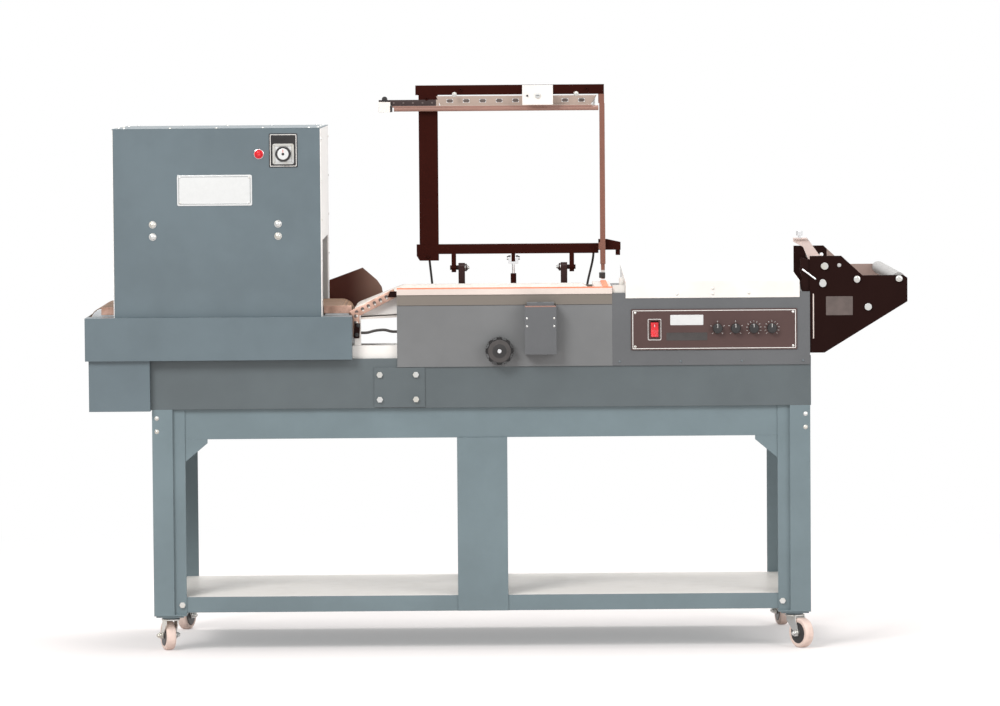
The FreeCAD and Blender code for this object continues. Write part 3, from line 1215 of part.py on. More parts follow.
def build_film_rollers():
    """Two free rollers that the film roll lies on."""
    for name, x in (("left", "film_roller_left_x"), ("right", "film_roller_right_x")):
        shaft = "roller_shaft_radius"
        profile = (("0", "-5"), (shaft, "-5"), (shaft, "gauge + 2"), ("film_roller_radius", "gauge + 2"),
                   ("film_roller_radius", "cradle_deep - gauge - 2"), (shaft, "cradle_deep - gauge - 2"),
                   (shaft, "cradle_deep"), ("0", "cradle_deep"))
        name_part(turned(f"FilmRoller_{name}", profile, (x, FRONT, "film_roller_z")), f"film_roller_{name}")


def build_film_guide():
    """A slanted bracket that slides along its rod, and the knob that clamps it."""
    middle = "330"
    boss = block("guide_boss", ("28", "30", "30"), ("guide_rod_x - 14", deep(middle), "guide_rod_z - 15"))
    outline = (("guide_rod_x - 14", "guide_rod_z - 12"), ("guide_rod_x + 8", "guide_rod_z - 12"),
               ("guide_rod_x + 8", "guide_rod_z + 15"), ("guide_rod_x - 24", "guide_rod_z + 60"),
               ("guide_rod_x - 60", "guide_rod_z + 60"), ("guide_rod_x - 60", "guide_rod_z + 50"),
               ("guide_rod_x - 34", "guide_rod_z + 36"))
    plate = panel("guide_plate", "XZ", outline, "5", ("0", deep(f"{middle} + 12"), "0"))
    shelf = block("guide_shelf", ("36", "24", "4"), ("guide_rod_x - 60", deep(f"{middle} + 3"), "guide_rod_z + 56"))
    bore = bar("guide_bore", "cradle_rod_radius + running_gap", "90", ("guide_rod_x", deep(f"{middle} - 30"), "guide_rod_z"),
               "Y")
    name_part(minus("FilmGuide", plus("guide_whole", boss, plate, shelf), bore), "film_guide")
    at = ("guide_rod_x - 44", deep(f"{middle} + 8"))
    name_part(plus("GuideKnob", bar("knob_stem", "4", "8", (*at, "guide_rod_z + 60")),
                   bar("knob_cap", "9", "12", (*at, "guide_rod_z + 66"))), "guide_knob")


# ---------------------------------------------------------------- leads

def build_leads():
    """The link cable between tunnel and sealer, and the two leads from the raised arm to the deck."""
    near = deep("22")
    name_part(lead("LinkCable", (("base_right_x + 22", near, "812"), ("-329", near, "812"), ("-308", near, "818"),
                                 ("-284", near, "819.5"), ("-268", near, "814.5"), ("body_left_x", near, "814.5")),
                   "link_radius"), "link_cable")
    back = "pivot_back + tube/2"
    deck_z = "band_z"
    leads = []
    for side, top_x, low_x in (("left", "-176", "-168"), ("right", "256", "238")):
        middle = f"({top_x} + {low_x})/2"
        route = ((top_x, deep(back), "1002"), (top_x, deep(f"{back} + 26"), "1002"),
                 (top_x, deep(f"{back} + 49"), "981"), (middle, deep(f"{back} + 54"), "944"),
                 (low_x, deep(f"{back} + 46"), "910"), (low_x, deep(f"{back} + 46"), deck_z))
        leads.append(lead(f"lead_{side}", route, "lead_radius"))
    name_part(group("ArmWires", *leads), "arm_wires")


build_sealer_body()
build_pad_channel()
build_seal_pads()
sealer_frame = build_sealer_conveyor()
name_part(group("ConveyorFrames", *tunnel_frame, *sealer_frame), "conveyor_frames")
build_control_box()
build_control_panel()
build_power_rocker()
for number in range(4):
    build_knob(f"control_knob_{number + 1}", f"knob_x + {number}*knob_pitch", deep("body_front - panel_thick"),
               "knob_z", "knob_radius", "knob_deep")
build_magnet()
build_handwheel()
build_arm_frame()
build_front_seal_bar()
build_side_seal_bar()
build_catch_plate()
build_strut()
build_table_brackets()
build_tray()
build_cradle()
build_tie_rods()
build_film_rollers()
build_film_guide()
build_leads()


# ---------------------------------------------------------------- check and export

doc.recompute()
failed = [item.Label for item in doc.Objects if "Invalid" in item.State or "Error" in item.State]
if failed:
    raise RuntimeError(f"objects failed to recompute: {failed}")
for part in SUBPARTS:
    if part.Shape.isNull() or not part.Shape.isValid():
        raise RuntimeError(f"{part.Label} has no valid shape")
os.makedirs("parts", exist_ok=True)
for part in SUBPARTS:
    part.Shape.exportStep(f"parts/{part.Label}.step")
print(f"{len(SUBPARTS)} sub-parts written")
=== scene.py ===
"""Finishes, fittings and studio for an L-bar sealer with a shrink tunnel.

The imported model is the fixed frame. Its nodes keep their places and take their
finishes here, and the small fittings that it leaves out are worked out as numpy
surfaces and placed from the boxes of the nodes that carry them.
"""
import json
import logging
import math
from collections.abc import Sequence
from dataclasses import dataclass, field
from enum import Enum

import bmesh
import bpy
import numpy as np
from mathutils import Matrix, Vector


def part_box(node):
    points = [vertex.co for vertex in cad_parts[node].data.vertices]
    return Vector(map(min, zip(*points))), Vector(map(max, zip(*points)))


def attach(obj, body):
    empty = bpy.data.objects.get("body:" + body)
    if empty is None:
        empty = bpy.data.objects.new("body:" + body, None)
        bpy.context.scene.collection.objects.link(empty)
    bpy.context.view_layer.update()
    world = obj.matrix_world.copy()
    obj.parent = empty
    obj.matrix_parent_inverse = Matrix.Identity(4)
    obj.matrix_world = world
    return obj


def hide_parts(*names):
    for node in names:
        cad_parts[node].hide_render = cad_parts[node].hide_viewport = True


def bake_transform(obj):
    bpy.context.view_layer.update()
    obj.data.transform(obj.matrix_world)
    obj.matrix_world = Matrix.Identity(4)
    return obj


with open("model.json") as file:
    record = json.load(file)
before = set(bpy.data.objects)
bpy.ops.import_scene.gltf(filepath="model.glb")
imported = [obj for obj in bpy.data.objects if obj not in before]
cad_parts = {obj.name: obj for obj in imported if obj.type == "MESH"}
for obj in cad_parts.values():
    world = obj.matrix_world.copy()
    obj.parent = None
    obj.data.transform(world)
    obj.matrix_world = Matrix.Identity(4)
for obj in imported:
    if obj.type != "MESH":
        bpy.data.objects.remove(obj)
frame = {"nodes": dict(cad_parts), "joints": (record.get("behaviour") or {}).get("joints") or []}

LOG = logging.getLogger("sealer")
METRE = 0.001  # one millimetre, in Blender's metres
Colour = tuple[float, float, float]
Point = Sequence[float]


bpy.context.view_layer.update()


# ---------------------------------------------------------------- shader maths


class Signal:
    """A number carried by a shader socket, which takes part in Python sums."""

    def __init__(self, graph: "Graph", socket: bpy.types.NodeSocket) -> None:
        """Keeps the graph that new Math nodes go to, and the socket itself."""
        self.graph = graph
        self.socket = socket

    def maths(self, operation: str, *values: "Signal | float") -> "Signal":
        """Adds one Math node.

        Args:
            operation: Blender's name of the operation.
            values: its inputs, in order.

        Returns:
            The result as a new signal.
        """
        node = self.graph.add("ShaderNodeMath", {"operation": operation}, dict(enumerate(values)))
        return Signal(self.graph, node.outputs[0])

    def __add__(self, other: "Signal | float") -> "Signal":
        """Sum."""
        return self.maths("ADD", self, other)

    def __radd__(self, other: float) -> "Signal":
        """Sum with a number on the left."""
        return self.maths("ADD", other, self)

    def __sub__(self, other: "Signal | float") -> "Signal":
        """Difference."""
        return self.maths("SUBTRACT", self, other)

    def __rsub__(self, other: float) -> "Signal":
        """Difference from a number on the left."""
        return self.maths("SUBTRACT", other, self)

    def __mul__(self, other: "Signal | float") -> "Signal":
        """Product."""
        return self.maths("MULTIPLY", self, other)

    def __rmul__(self, other: float) -> "Signal":
        """Product with a number on the left."""
        return self.maths("MULTIPLY", other, self)

    def __truediv__(self, other: "Signal | float") -> "Signal":
        """Quotient."""
        return self.maths("DIVIDE", self, other)

    def __pow__(self, other: float) -> "Signal":
        """Power."""
        return self.maths("POWER", self, other)

    def __gt__(self, other: "Signal | float") -> "Signal":
        """One where the signal is larger, else zero."""
        return self.maths("GREATER_THAN", self, other)

    def __lt__(self, other: "Signal | float") -> "Signal":
        """One where the signal is smaller, else zero."""
        return self.maths("LESS_THAN", self, other)

    def sine(self) -> "Signal":
        """Sine of an angle in radians."""
        return self.maths("SINE", self)

    def size(self) -> "Signal":
        """Absolute value."""
        return self.maths("ABSOLUTE", self)

    def larger(self, other: "Signal | float") -> "Signal":
        """The larger of two values."""
        return self.maths("MAXIMUM", self, other)

    def smaller(self, other: "Signal | float") -> "Signal":
        """The smaller of two values."""
        return self.maths("MINIMUM", self, other)

    def ramp(self, low: float, high: float) -> "Signal":
        """Rises smoothly from 0 at low to 1 at high."""
        node = self.graph.add("ShaderNodeMapRange", {"interpolation_type": "SMOOTHSTEP"},
                              {"Value": self, "From Min": low, "From Max": high})
        return Signal(self.graph, node.outputs["Result"])


class Graph:
    """The node tree of one material or world, with one way of adding nodes to it."""

    def __init__(self, name: str, world: bpy.types.World | None = None) -> None:
        """Starts an empty material of the given name, or empties a world's tree."""
        self.material = world or bpy.data.materials.new(name)
        self.material.use_nodes = True
        self.tree = self.material.node_tree
        self.tree.nodes.clear()
        self.output = self.add("ShaderNodeOutputWorld" if world else "ShaderNodeOutputMaterial")

    def add(self, kind: str, settings: dict | None = None, sockets: dict | None = None) -> bpy.types.Node:
        """Adds a node.

        Args:
            kind: Blender's name of the node type.
            settings: attributes set first; "stops" holds a ramp's (place, colour) pairs.
            sockets: values or links of its inputs, by name or number.

        Returns:
            The node.
        """
        node = self.tree.nodes.new(kind)
        for name, value in (settings or {}).items():
            if name == "stops":
                self.set_stops(node, value)
            else:
                setattr(node, name, value)
        for key, value in (sockets or {}).items():
            self.feed(node.inputs[key], value)
        return node

    @staticmethod
    def set_stops(node: bpy.types.Node, stops: Sequence[tuple[float, Colour]]) -> None:
        """Gives a colour ramp its stops."""
        elements = node.color_ramp.elements
        while len(elements) < len(stops):
            elements.new(0.5)
        for element, (place, colour) in zip(elements, stops):
            element.position = place
            element.color = (*colour, 1.0)

    def feed(self, target: bpy.types.NodeSocket, value: object) -> None:
        """Links a signal or socket to an input, or sets the input's own value."""
        if isinstance(value, Signal):
            value = value.socket
        if isinstance(value, bpy.types.NodeSocket):
            self.tree.links.new(value, target)
        elif isinstance(value, tuple) and len(value) == 3 and target.type == "RGBA":
            target.default_value = (*value, 1.0)
        else:
            target.default_value = value

    def place(self) -> bpy.types.NodeSocket:
        """Object coordinates, in metres."""
        return self.add("ShaderNodeTexCoord").outputs["Object"]

    def axes(self) -> tuple[Signal, Signal, Signal]:
        """The three object coordinates as signals."""
        parts = self.add("ShaderNodeSeparateXYZ", None, {0: self.place()})
        return tuple(Signal(self, socket) for socket in parts.outputs)

    def noise(self, scale: float, detail: float = 3.0, stretch: Point = (1.0, 1.0, 1.0)) -> Signal:
        """Soft noise.

        Args:
            scale: features per metre.
            detail: octaves.
            stretch: how much denser the pattern is along each axis.

        Returns:
            A signal around one half.
        """
        where = self.add("ShaderNodeMapping", None, {"Vector": self.place(), "Scale": tuple(stretch)})
        node = self.add("ShaderNodeTexNoise", None,
                        {"Vector": where.outputs[0], "Scale": scale, "Detail": detail, "Roughness": 0.6})
        return Signal(self, node.outputs["Fac"])

    def cells(self, scale: float, feature: str = "F1") -> bpy.types.Node:
        """A Voronoi node of the given cells per metre."""
        return self.add("ShaderNodeTexVoronoi", {"feature": feature}, {"Vector": self.place(), "Scale": scale})

    def blend(self, amount: Signal | float, first: object, second: object) -> bpy.types.NodeSocket:
        """Mixes two colours and returns the colour socket."""
        node = self.add("ShaderNodeMix", {"data_type": "RGBA"}, {0: amount, 6: first, 7: second})
        return node.outputs[2]

    def edge(self, radius: float) -> tuple[bpy.types.NodeSocket, Signal]:
        """Rounds the look of sharp edges.

        Args:
            radius: width of the rounding, in metres.

        Returns:
            The rounded normal, and a mask that is one along edges.
        """
        rounded = self.add("ShaderNodeBevel", {"samples": 4}, {"Radius": radius}).outputs[0]
        flat = self.add("ShaderNodeNewGeometry").outputs["Normal"]
        turn = self.add("ShaderNodeVectorMath", {"operation": "DOT_PRODUCT"}, {0: rounded, 1: flat})
        return rounded, (1.0 - Signal(self, turn.outputs["Value"])).ramp(0.01, 0.25)

    def upward(self) -> Signal:
        """One on faces that look up, where dust settles."""
        normal = self.add("ShaderNodeNewGeometry").outputs["Normal"]
        parts = self.add("ShaderNodeSeparateXYZ", None, {0: normal})
        return Signal(self, parts.outputs[2]).ramp(0.5, 0.95)

    def bump(self, height: Signal, depth: float, normal: bpy.types.NodeSocket | None = None,
             strength: float = 1.0) -> bpy.types.NodeSocket:
        """Turns a height signal into a normal; depth is in metres."""
        sockets = {"Height": height, "Distance": depth, "Strength": strength}
        if normal is not None:
            sockets["Normal"] = normal
        return self.add("ShaderNodeBump", None, sockets).outputs[0]

    def surface(self, **sockets: object) -> bpy.types.Node:
        """Adds the Principled shader and joins it to the output."""
        shader = self.add("ShaderNodeBsdfPrincipled", None,
                          {name.replace("_", " "): value for name, value in sockets.items()})
        self.tree.links.new(shader.outputs[0], self.output.inputs[0])
        return shader


# ---------------------------------------------------------------- finishes


def toned(colour: Colour, factor: float) -> Colour:
    """Returns a colour made lighter or darker by a factor, at most white."""
    return tuple(min(1.0, part * factor) for part in colour)


@dataclass(frozen=True)
class Zone:
    """Part of a node with a colour of its own: a box in metres, or the faces that look up."""

    colour: Colour
    low: Colour = (-9.0, -9.0, -9.0)
    high: Colour = (9.0, 9.0, 9.0)
    upward: bool = False
    soft: float = 0.0

    def mask(self, graph: Graph) -> Signal | float:
        """Returns a signal that is one inside the zone."""
        inside: Signal | float = graph.upward() if self.upward else 1.0
        for value, low, high in zip(graph.axes(), self.low, self.high):
            if low > -9.0:
                inside = inside * (value.ramp(low, low + self.soft) if self.soft else value > low)
            if high < 9.0:
                inside = inside * (value < high)
        return inside


@dataclass(frozen=True)
class Paint:
    """Stoved paint on sheet steel: cloudy tone, orange peel, rubbed edges, dust on top."""

    colour: Colour
    roughness: float = 0.42
    coat: float = 0.15
    peel: float = 0.00006
    rubbed: float = 0.35
    dust: float = 0.25
    dust_colour: Colour = (0.62, 0.58, 0.54)
    edge_width: float = 0.0018
    specular: float = 0.5
    zones: tuple[Zone, ...] = ()

    def material(self, name: str) -> bpy.types.Material:
        """Builds the node tree.

        Args:
            name: the material's name.

        Returns:
            The material.
        """
        graph = Graph(name)
        cloud = graph.noise(5.0, 4.0)
        rounded, edge = graph.edge(self.edge_width)
        scuff = graph.noise(140.0, 4.0).ramp(0.48, 0.62)
        tone = graph.blend(cloud.ramp(0.3, 0.7), toned(self.colour, 0.93), toned(self.colour, 1.07))
        worn = graph.blend(edge * scuff * self.rubbed, tone, toned(self.colour, 2.2))
        for zone in self.zones:
            worn = graph.blend(zone.mask(graph), worn, graph.blend(cloud, toned(zone.colour, 0.94), zone.colour))
        grime = graph.noise(22.0, 5.0).ramp(0.45, 0.75) * graph.upward() * self.dust
        colour = graph.blend(grime, worn, self.dust_colour)
        smear = graph.noise(30.0, 3.0, (1.0, 1.0, 0.3)).ramp(0.35, 0.75)
        graph.surface(Base_Color=colour, Roughness=self.roughness - 0.05 + smear * 0.12 + grime * 0.3,
                      Coat_Weight=self.coat, Coat_Roughness=0.25, Specular_IOR_Level=self.specular,
                      Normal=graph.bump(graph.noise(700.0, 2.0), self.peel, rounded))
        return graph.material


@dataclass(frozen=True)
class Metal:
    """Bare or plated metal, with grain along one axis, smudges and faint tarnish."""

    colour: Colour
    roughness: float = 0.3
    grain: tuple[float, float, float] = (1.0, 1.0, 1.0)
    grain_depth: float = 0.00003
    tarnish: Colour | None = None
    spangle: float = 0.0
    edge_width: float = 0.0008

    def material(self, name: str) -> bpy.types.Material:
        """Builds the node tree.

        Args:
            name: the material's name.

        Returns:
            The material.
        """
        graph = Graph(name)
        rounded, edge = graph.edge(self.edge_width)
        scratch = graph.noise(420.0, 3.0, self.grain)
        cloud = graph.noise(26.0, 4.0).ramp(0.35, 0.75)
        colour = graph.blend(cloud * 0.55, self.colour, self.tarnish or toned(self.colour, 0.8))
        colour = graph.blend(edge * 0.3, colour, toned(self.colour, 1.25))
        rough = self.roughness - 0.06 + scratch * 0.12 + cloud * 0.08
        if self.spangle:
            crystal = graph.cells(self.spangle)
            shade = graph.add("ShaderNodeSeparateColor", None, {0: crystal.outputs["Color"]})
            facet = Signal(graph, shade.outputs[0])
            colour = graph.blend(facet * 0.45, colour, toned(self.colour, 0.62))
            rough = rough + facet * 0.12
        graph.surface(Base_Color=colour, Metallic=1.0, Roughness=rough,
                      Normal=graph.bump(scratch, self.grain_depth, rounded))
        return graph.material


@dataclass(frozen=True)
class Moulded:
    """Moulded plastic or rubber: fine grain, faint flow marks, paler rubbed edges."""

    colour: Colour
    roughness: float = 0.45
    grain: float = 1600.0
    depth: float = 0.00005
    mottle: float = 0.12
    soft: float = 0.0
    edge_width: float = 0.0006

    def material(self, name: str) -> bpy.types.Material:
        """Builds the node tree.

        Args:
            name: the material's name.

        Returns:
            The material.
        """
        graph = Graph(name)
        rounded, edge = graph.edge(self.edge_width)
        flow = graph.noise(40.0, 4.0).ramp(0.3, 0.7)
        colour = graph.blend(flow, toned(self.colour, 1.0 - self.mottle), toned(self.colour, 1.0 + self.mottle))
        colour = graph.blend(edge * 0.25, colour, toned(self.colour, 1.9))
        graph.surface(Base_Color=colour, Roughness=self.roughness - 0.05 + flow * 0.1,
                      Sheen_Weight=self.soft,
                      Normal=graph.bump(graph.noise(self.grain, 2.0), self.depth, rounded))
        return graph.material


class Weave(Enum):
    """Which way the strands of a belt are laid."""

    OPEN_MESH = "open mesh"
    CLOSE_CLOTH = "close cloth"


@dataclass(frozen=True)
class Belt:
    """Coated glass mesh: strands both ways, and the holes between them painted in a dark colour that stands for the
    shade seen through the mesh.
    """

    colour: Colour
    mesh_hole_shade: Colour
    pitch: float = 0.004
    weave: Weave = Weave.OPEN_MESH
    roughness: float = 0.55

    def material(self, name: str) -> bpy.types.Material:
        """Builds the node tree: two sine waves cross, and their product is a hole.

        Args:
            name: the material's name.

        Returns:
            The material.
        """
        graph = Graph(name)
        along, across, up = graph.axes()
        turns = 2.0 * math.pi / self.pitch
        warp = ((along + up) * turns).sine() * 0.5 + 0.5
        weft = (across * turns).sine() * 0.5 + 0.5
        low, high = (0.35, 0.6) if self.weave is Weave.OPEN_MESH else (0.7, 0.9)
        hole = (warp * weft).ramp(low, high)
        stain = graph.noise(14.0, 5.0).ramp(0.4, 0.75)
        strand = graph.blend(stain * 0.5, self.colour, toned(self.colour, 0.72))
        # the holes take painted shade: the dark that is seen through the open mesh
        graph.surface(Base_Color=graph.blend(hole, strand, self.mesh_hole_shade),
                      Roughness=self.roughness + stain * 0.15,
                      Normal=graph.bump(warp.larger(weft) - hole, 0.0006))
        return graph.material


@dataclass(frozen=True)
class Lens:
    """Coloured translucent cap that is lit from within."""

    colour: Colour
    glow: float = 0.6
    rib: float = 0.0016

    def material(self, name: str) -> bpy.types.Material:
        """Builds the node tree: fine ribs, brighter towards the middle of the noise.

        Args:
            name: the material's name.

        Returns:
            The material.
        """
        graph = Graph(name)
        along, across, up = graph.axes()
        ribs = ((along + up) * (2.0 * math.pi / self.rib)).sine()
        patch = graph.noise(90.0, 2.0).ramp(0.3, 0.7)
        colour = graph.blend(patch, toned(self.colour, 0.85), toned(self.colour, 1.2))
        graph.surface(Base_Color=colour, Roughness=0.12 + patch * 0.08, Emission_Color=colour,
                      Emission_Strength=self.glow, Coat_Weight=0.1,
                      Normal=graph.bump(ribs, 0.0001))
        return graph.material


@dataclass(frozen=True)
class Heated:
    """Bar that has run hot: copper colour that turns brown in bands along its length."""

    colour: Colour
    burnt: Colour
    stretch: tuple[float, float, float] = (1.0, 1.0, 1.0)
    roughness: float = 0.35

    def material(self, name: str) -> bpy.types.Material:
        """Builds the node tree.

        Args:
            name: the material's name.

        Returns:
            The material.
        """
        graph = Graph(name)
        bands = graph.noise(30.0, 5.0, self.stretch).ramp(0.35, 0.7)
        soot = graph.noise(160.0, 4.0).ramp(0.5, 0.72)
        colour = graph.blend(bands, self.colour, self.burnt)
        colour = graph.blend(soot * 0.4, colour, toned(self.burnt, 0.45))
        graph.surface(Base_Color=colour, Metallic=0.75 - soot * 0.4,
                      Roughness=self.roughness + bands * 0.15 + soot * 0.2,
                      Normal=graph.bump(graph.noise(500.0, 3.0), 0.00008))
        return graph.material


SLATE = Paint((0.112, 0.148, 0.166), roughness=0.40, coat=0.1)
LEG_BLUE = Paint((0.150, 0.200, 0.218), roughness=0.42, coat=0.1)
BODY_GREY = Paint((0.160, 0.164, 0.166), roughness=0.45, coat=0.05,
                  zones=(Zone((0.190, 0.165, 0.140), low=(-9.0, -9.0, 0.882)),))
BOX_GREY = Paint((0.108, 0.112, 0.117), roughness=0.45, coat=0.05)
SLATE_DARK = Paint((0.120, 0.140, 0.150), roughness=0.45, coat=0.05)
BEAM_BLUE = Paint((0.092, 0.112, 0.119), roughness=0.42, coat=0.05)
BLACK_PAINT = Paint((0.018, 0.007, 0.006), roughness=0.38, coat=0.0, dust=0.04, dust_colour=(0.12, 0.09, 0.08),
                    specular=0.05)
PANEL_BLACK = Paint((0.085, 0.050, 0.046), roughness=0.36, coat=0.0, dust=0.04, dust_colour=(0.2, 0.16, 0.14),
                    specular=0.25)
CRADLE_BLACK = Paint((0.016, 0.006, 0.005), roughness=0.38, coat=0.0, dust=0.03, dust_colour=(0.12, 0.09, 0.08),
                     specular=0.04, zones=(Zone((0.34, 0.25, 0.22), low=(0.885, 0.30, -9.0)),))
GUARD = Paint((0.085, 0.022, 0.014), roughness=0.42, coat=0.1, dust=0.0, specular=0.15,
              zones=(Zone((0.42, 0.25, 0.19), low=(-0.40, -9.0, -9.0), soft=0.12),))
PEG_BRACKET = Paint((0.032, 0.013, 0.012), roughness=0.38, coat=0.0, specular=0.15,
                    zones=(Zone((0.72, 0.69, 0.65), low=(0.285, -9.0, -9.0)),))
ARM_BLACK = Paint((0.030, 0.0055, 0.0035), roughness=0.34, coat=0.0, dust=0.04, dust_colour=(0.10, 0.06, 0.05),
                  specular=0.04)
WHITE = Paint((0.83, 0.80, 0.76), roughness=0.38, dust=0.1, dust_colour=(0.6, 0.57, 0.52), rubbed=0.1)
END_WHITE = Paint((0.42, 0.41, 0.40), roughness=0.4, dust=0.1, rubbed=0.1,
                  zones=(Zone((0.92, 0.89, 0.86), low=(-0.4445, -9.0, -9.0)),
                         Zone((0.92, 0.89, 0.86), high=(-0.9685, 9.0, 9.0))))
BRIDGE_WHITE = Paint((0.120, 0.140, 0.150), roughness=0.42, dust=0.1, rubbed=0.1,
                     zones=(Zone((0.86, 0.83, 0.80), low=(-0.366, -9.0, -9.0), high=(-0.253, 9.0, 9.0)),))
SHELF_GREY = Paint((0.150, 0.200, 0.218), roughness=0.45, dust=0.1, dust_colour=(0.5, 0.47, 0.43), rubbed=0.1,
                   zones=(Zone((0.95, 0.90, 0.84), upward=True),))
BAR_METAL = Paint((0.30, 0.16, 0.125), roughness=0.38, coat=0.2, dust=0.0, rubbed=0.2,
                  zones=(Zone((0.41, 0.32, 0.27), low=(-0.154, -9.0, 1.3835)),
                         Zone((0.030, 0.012, 0.010), low=(-9.0, -9.0, 1.384), high=(-0.154, 9.0, 9.0)),
                         Zone((0.84, 0.80, 0.75), high=(-0.273, 9.0, 1.395))))
SIDE_BAR = Paint((0.19, 0.072, 0.046), roughness=0.38, coat=0.2, dust=0.0, rubbed=0.2,
                 zones=(Zone((0.55, 0.52, 0.50), high=(9.0, 9.0, 0.952)),))
GALVANISED = Metal((0.74, 0.75, 0.76), roughness=0.38, spangle=55.0)
ZINC = Metal((0.66, 0.66, 0.65), roughness=0.32, tarnish=(0.52, 0.47, 0.36))
CHROME = Metal((0.86, 0.86, 0.87), roughness=0.12, grain_depth=0.000008)
ROLLER_ALU = Metal((0.70, 0.71, 0.72), roughness=0.34, grain=(0.15, 1.0, 1.0))
ROLLER_GREY = Moulded((0.36, 0.35, 0.34), roughness=0.5)
STAINLESS = Metal((0.66, 0.65, 0.64), roughness=0.34, grain=(0.06, 1.0, 1.0))
HEATER = Heated((0.40, 0.34, 0.30), (0.22, 0.14, 0.10), (1.0, 0.3, 1.0))
COPPER_ROD = Heated((0.52, 0.27, 0.19), (0.30, 0.13, 0.09), (1.0, 1.0, 0.4))
PAD_RED = Moulded((0.78, 0.24, 0.13), roughness=0.6, grain=2200.0, mottle=0.08)
CURTAIN = Moulded((0.10, 0.075, 0.06), roughness=0.62, grain=900.0, mottle=0.2, soft=0.2)
BLACK_PLASTIC = Moulded((0.022, 0.020, 0.020), roughness=0.35)
IVORY = Moulded((0.80, 0.77, 0.71), roughness=0.42, mottle=0.04)
BLACK_RUBBER = Moulded((0.030, 0.026, 0.024), roughness=0.7, grain=1100.0, soft=0.15)
TREAD = Moulded((0.84, 0.66, 0.58), roughness=0.6, grain=800.0, mottle=0.08)
CABLE = Moulded((0.028, 0.022, 0.020), roughness=0.5, grain=1400.0)
MOTOR = Paint((0.10, 0.17, 0.20), roughness=0.38)
RED_LENS = Lens((0.60, 0.010, 0.018), glow=0.15)
TUNNEL_MESH = Belt((0.34, 0.20, 0.12), (0.05, 0.03, 0.02))
SEALER_MESH = Belt((0.80, 0.74, 0.68), (0.46, 0.36, 0.30), pitch=0.003, weave=Weave.CLOSE_CLOTH)
PLATE_BRUSHED = Metal((0.80, 0.80, 0.79), roughness=0.36, grain=(0.05, 1.0, 1.0))
# black for print, and also for painted shade in a screw's slot and a hole
LABEL_AND_RECESS_SHADE_BLACK = Moulded((0.016, 0.014, 0.014), roughness=0.3, grain=2600.0, depth=0.00002)
# dark brown for a plate, and also for painted shade in holes and slots
LABEL_AND_HOLE_SHADE_BROWN = Moulded((0.105, 0.080, 0.072), roughness=0.42, grain=2600.0, depth=0.00002)
# pale pink of the pad channel, and also a painted highlight strip on the cradle
PINK_TRIM_AND_HIGHLIGHT = Paint((0.72, 0.62, 0.56), roughness=0.4, dust=0.0, rubbed=0.1)
GUIDE_PINK = Paint((0.62, 0.50, 0.46), roughness=0.4, dust=0.0, rubbed=0.1)
LABEL_DARK = Moulded((0.050, 0.044, 0.042), roughness=0.42, grain=2600.0, depth=0.00002)
LABEL_WHITE = Moulded((0.82, 0.80, 0.77), roughness=0.4, grain=2600.0, depth=0.00002, mottle=0.03)
POINTER_RED = Moulded((0.62, 0.05, 0.03), roughness=0.35, mottle=0.05)
CHAIN = Heated((0.62, 0.40, 0.32), (0.40, 0.24, 0.18), (1.0, 1.0, 1.0), roughness=0.4)


class FinishBook:
    """Makes each finish once, and gives it to CAD nodes and pieces by name."""

    def __init__(self) -> None:
        """Starts with no material made."""
        self.made: dict[str, bpy.types.Material] = {}

    def get(self, name: str, finish: object) -> bpy.types.Material:
        """Returns the material of a finish, made at its first use."""
        if name not in self.made:
            self.made[name] = finish.material(name)
        return self.made[name]

    def dress(self, node: str, name: str, finish: object) -> None:
        """Gives a CAD node one finish in all its slots."""
        mesh = frame["nodes"][node].data
        material = self.get(name, finish)
        if not mesh.materials:
            mesh.materials.append(material)
        for index in range(len(mesh.materials)):
            mesh.materials[index] = material


# ---------------------------------------------------------------- studio


@dataclass
class Lamp:
    """A soft square lamp, in metres and watts."""

    name: str
    at: tuple[float, float, float]
    aim: tuple[float, float, float]
    width: float
    power: float

    def hang(self) -> None:
        """Adds the lamp, turned towards its aim."""
        data = bpy.data.lights.new(self.name, "AREA")
        data.shape = "SQUARE"
        data.size = self.width
        data.energy = self.power
        lamp = bpy.data.objects.new(self.name, data)
        lamp.location = self.at
        lamp.rotation_euler = (Vector(self.aim) - Vector(self.at)).to_track_quat("-Z", "Y").to_euler()
        bpy.context.scene.collection.objects.link(lamp)


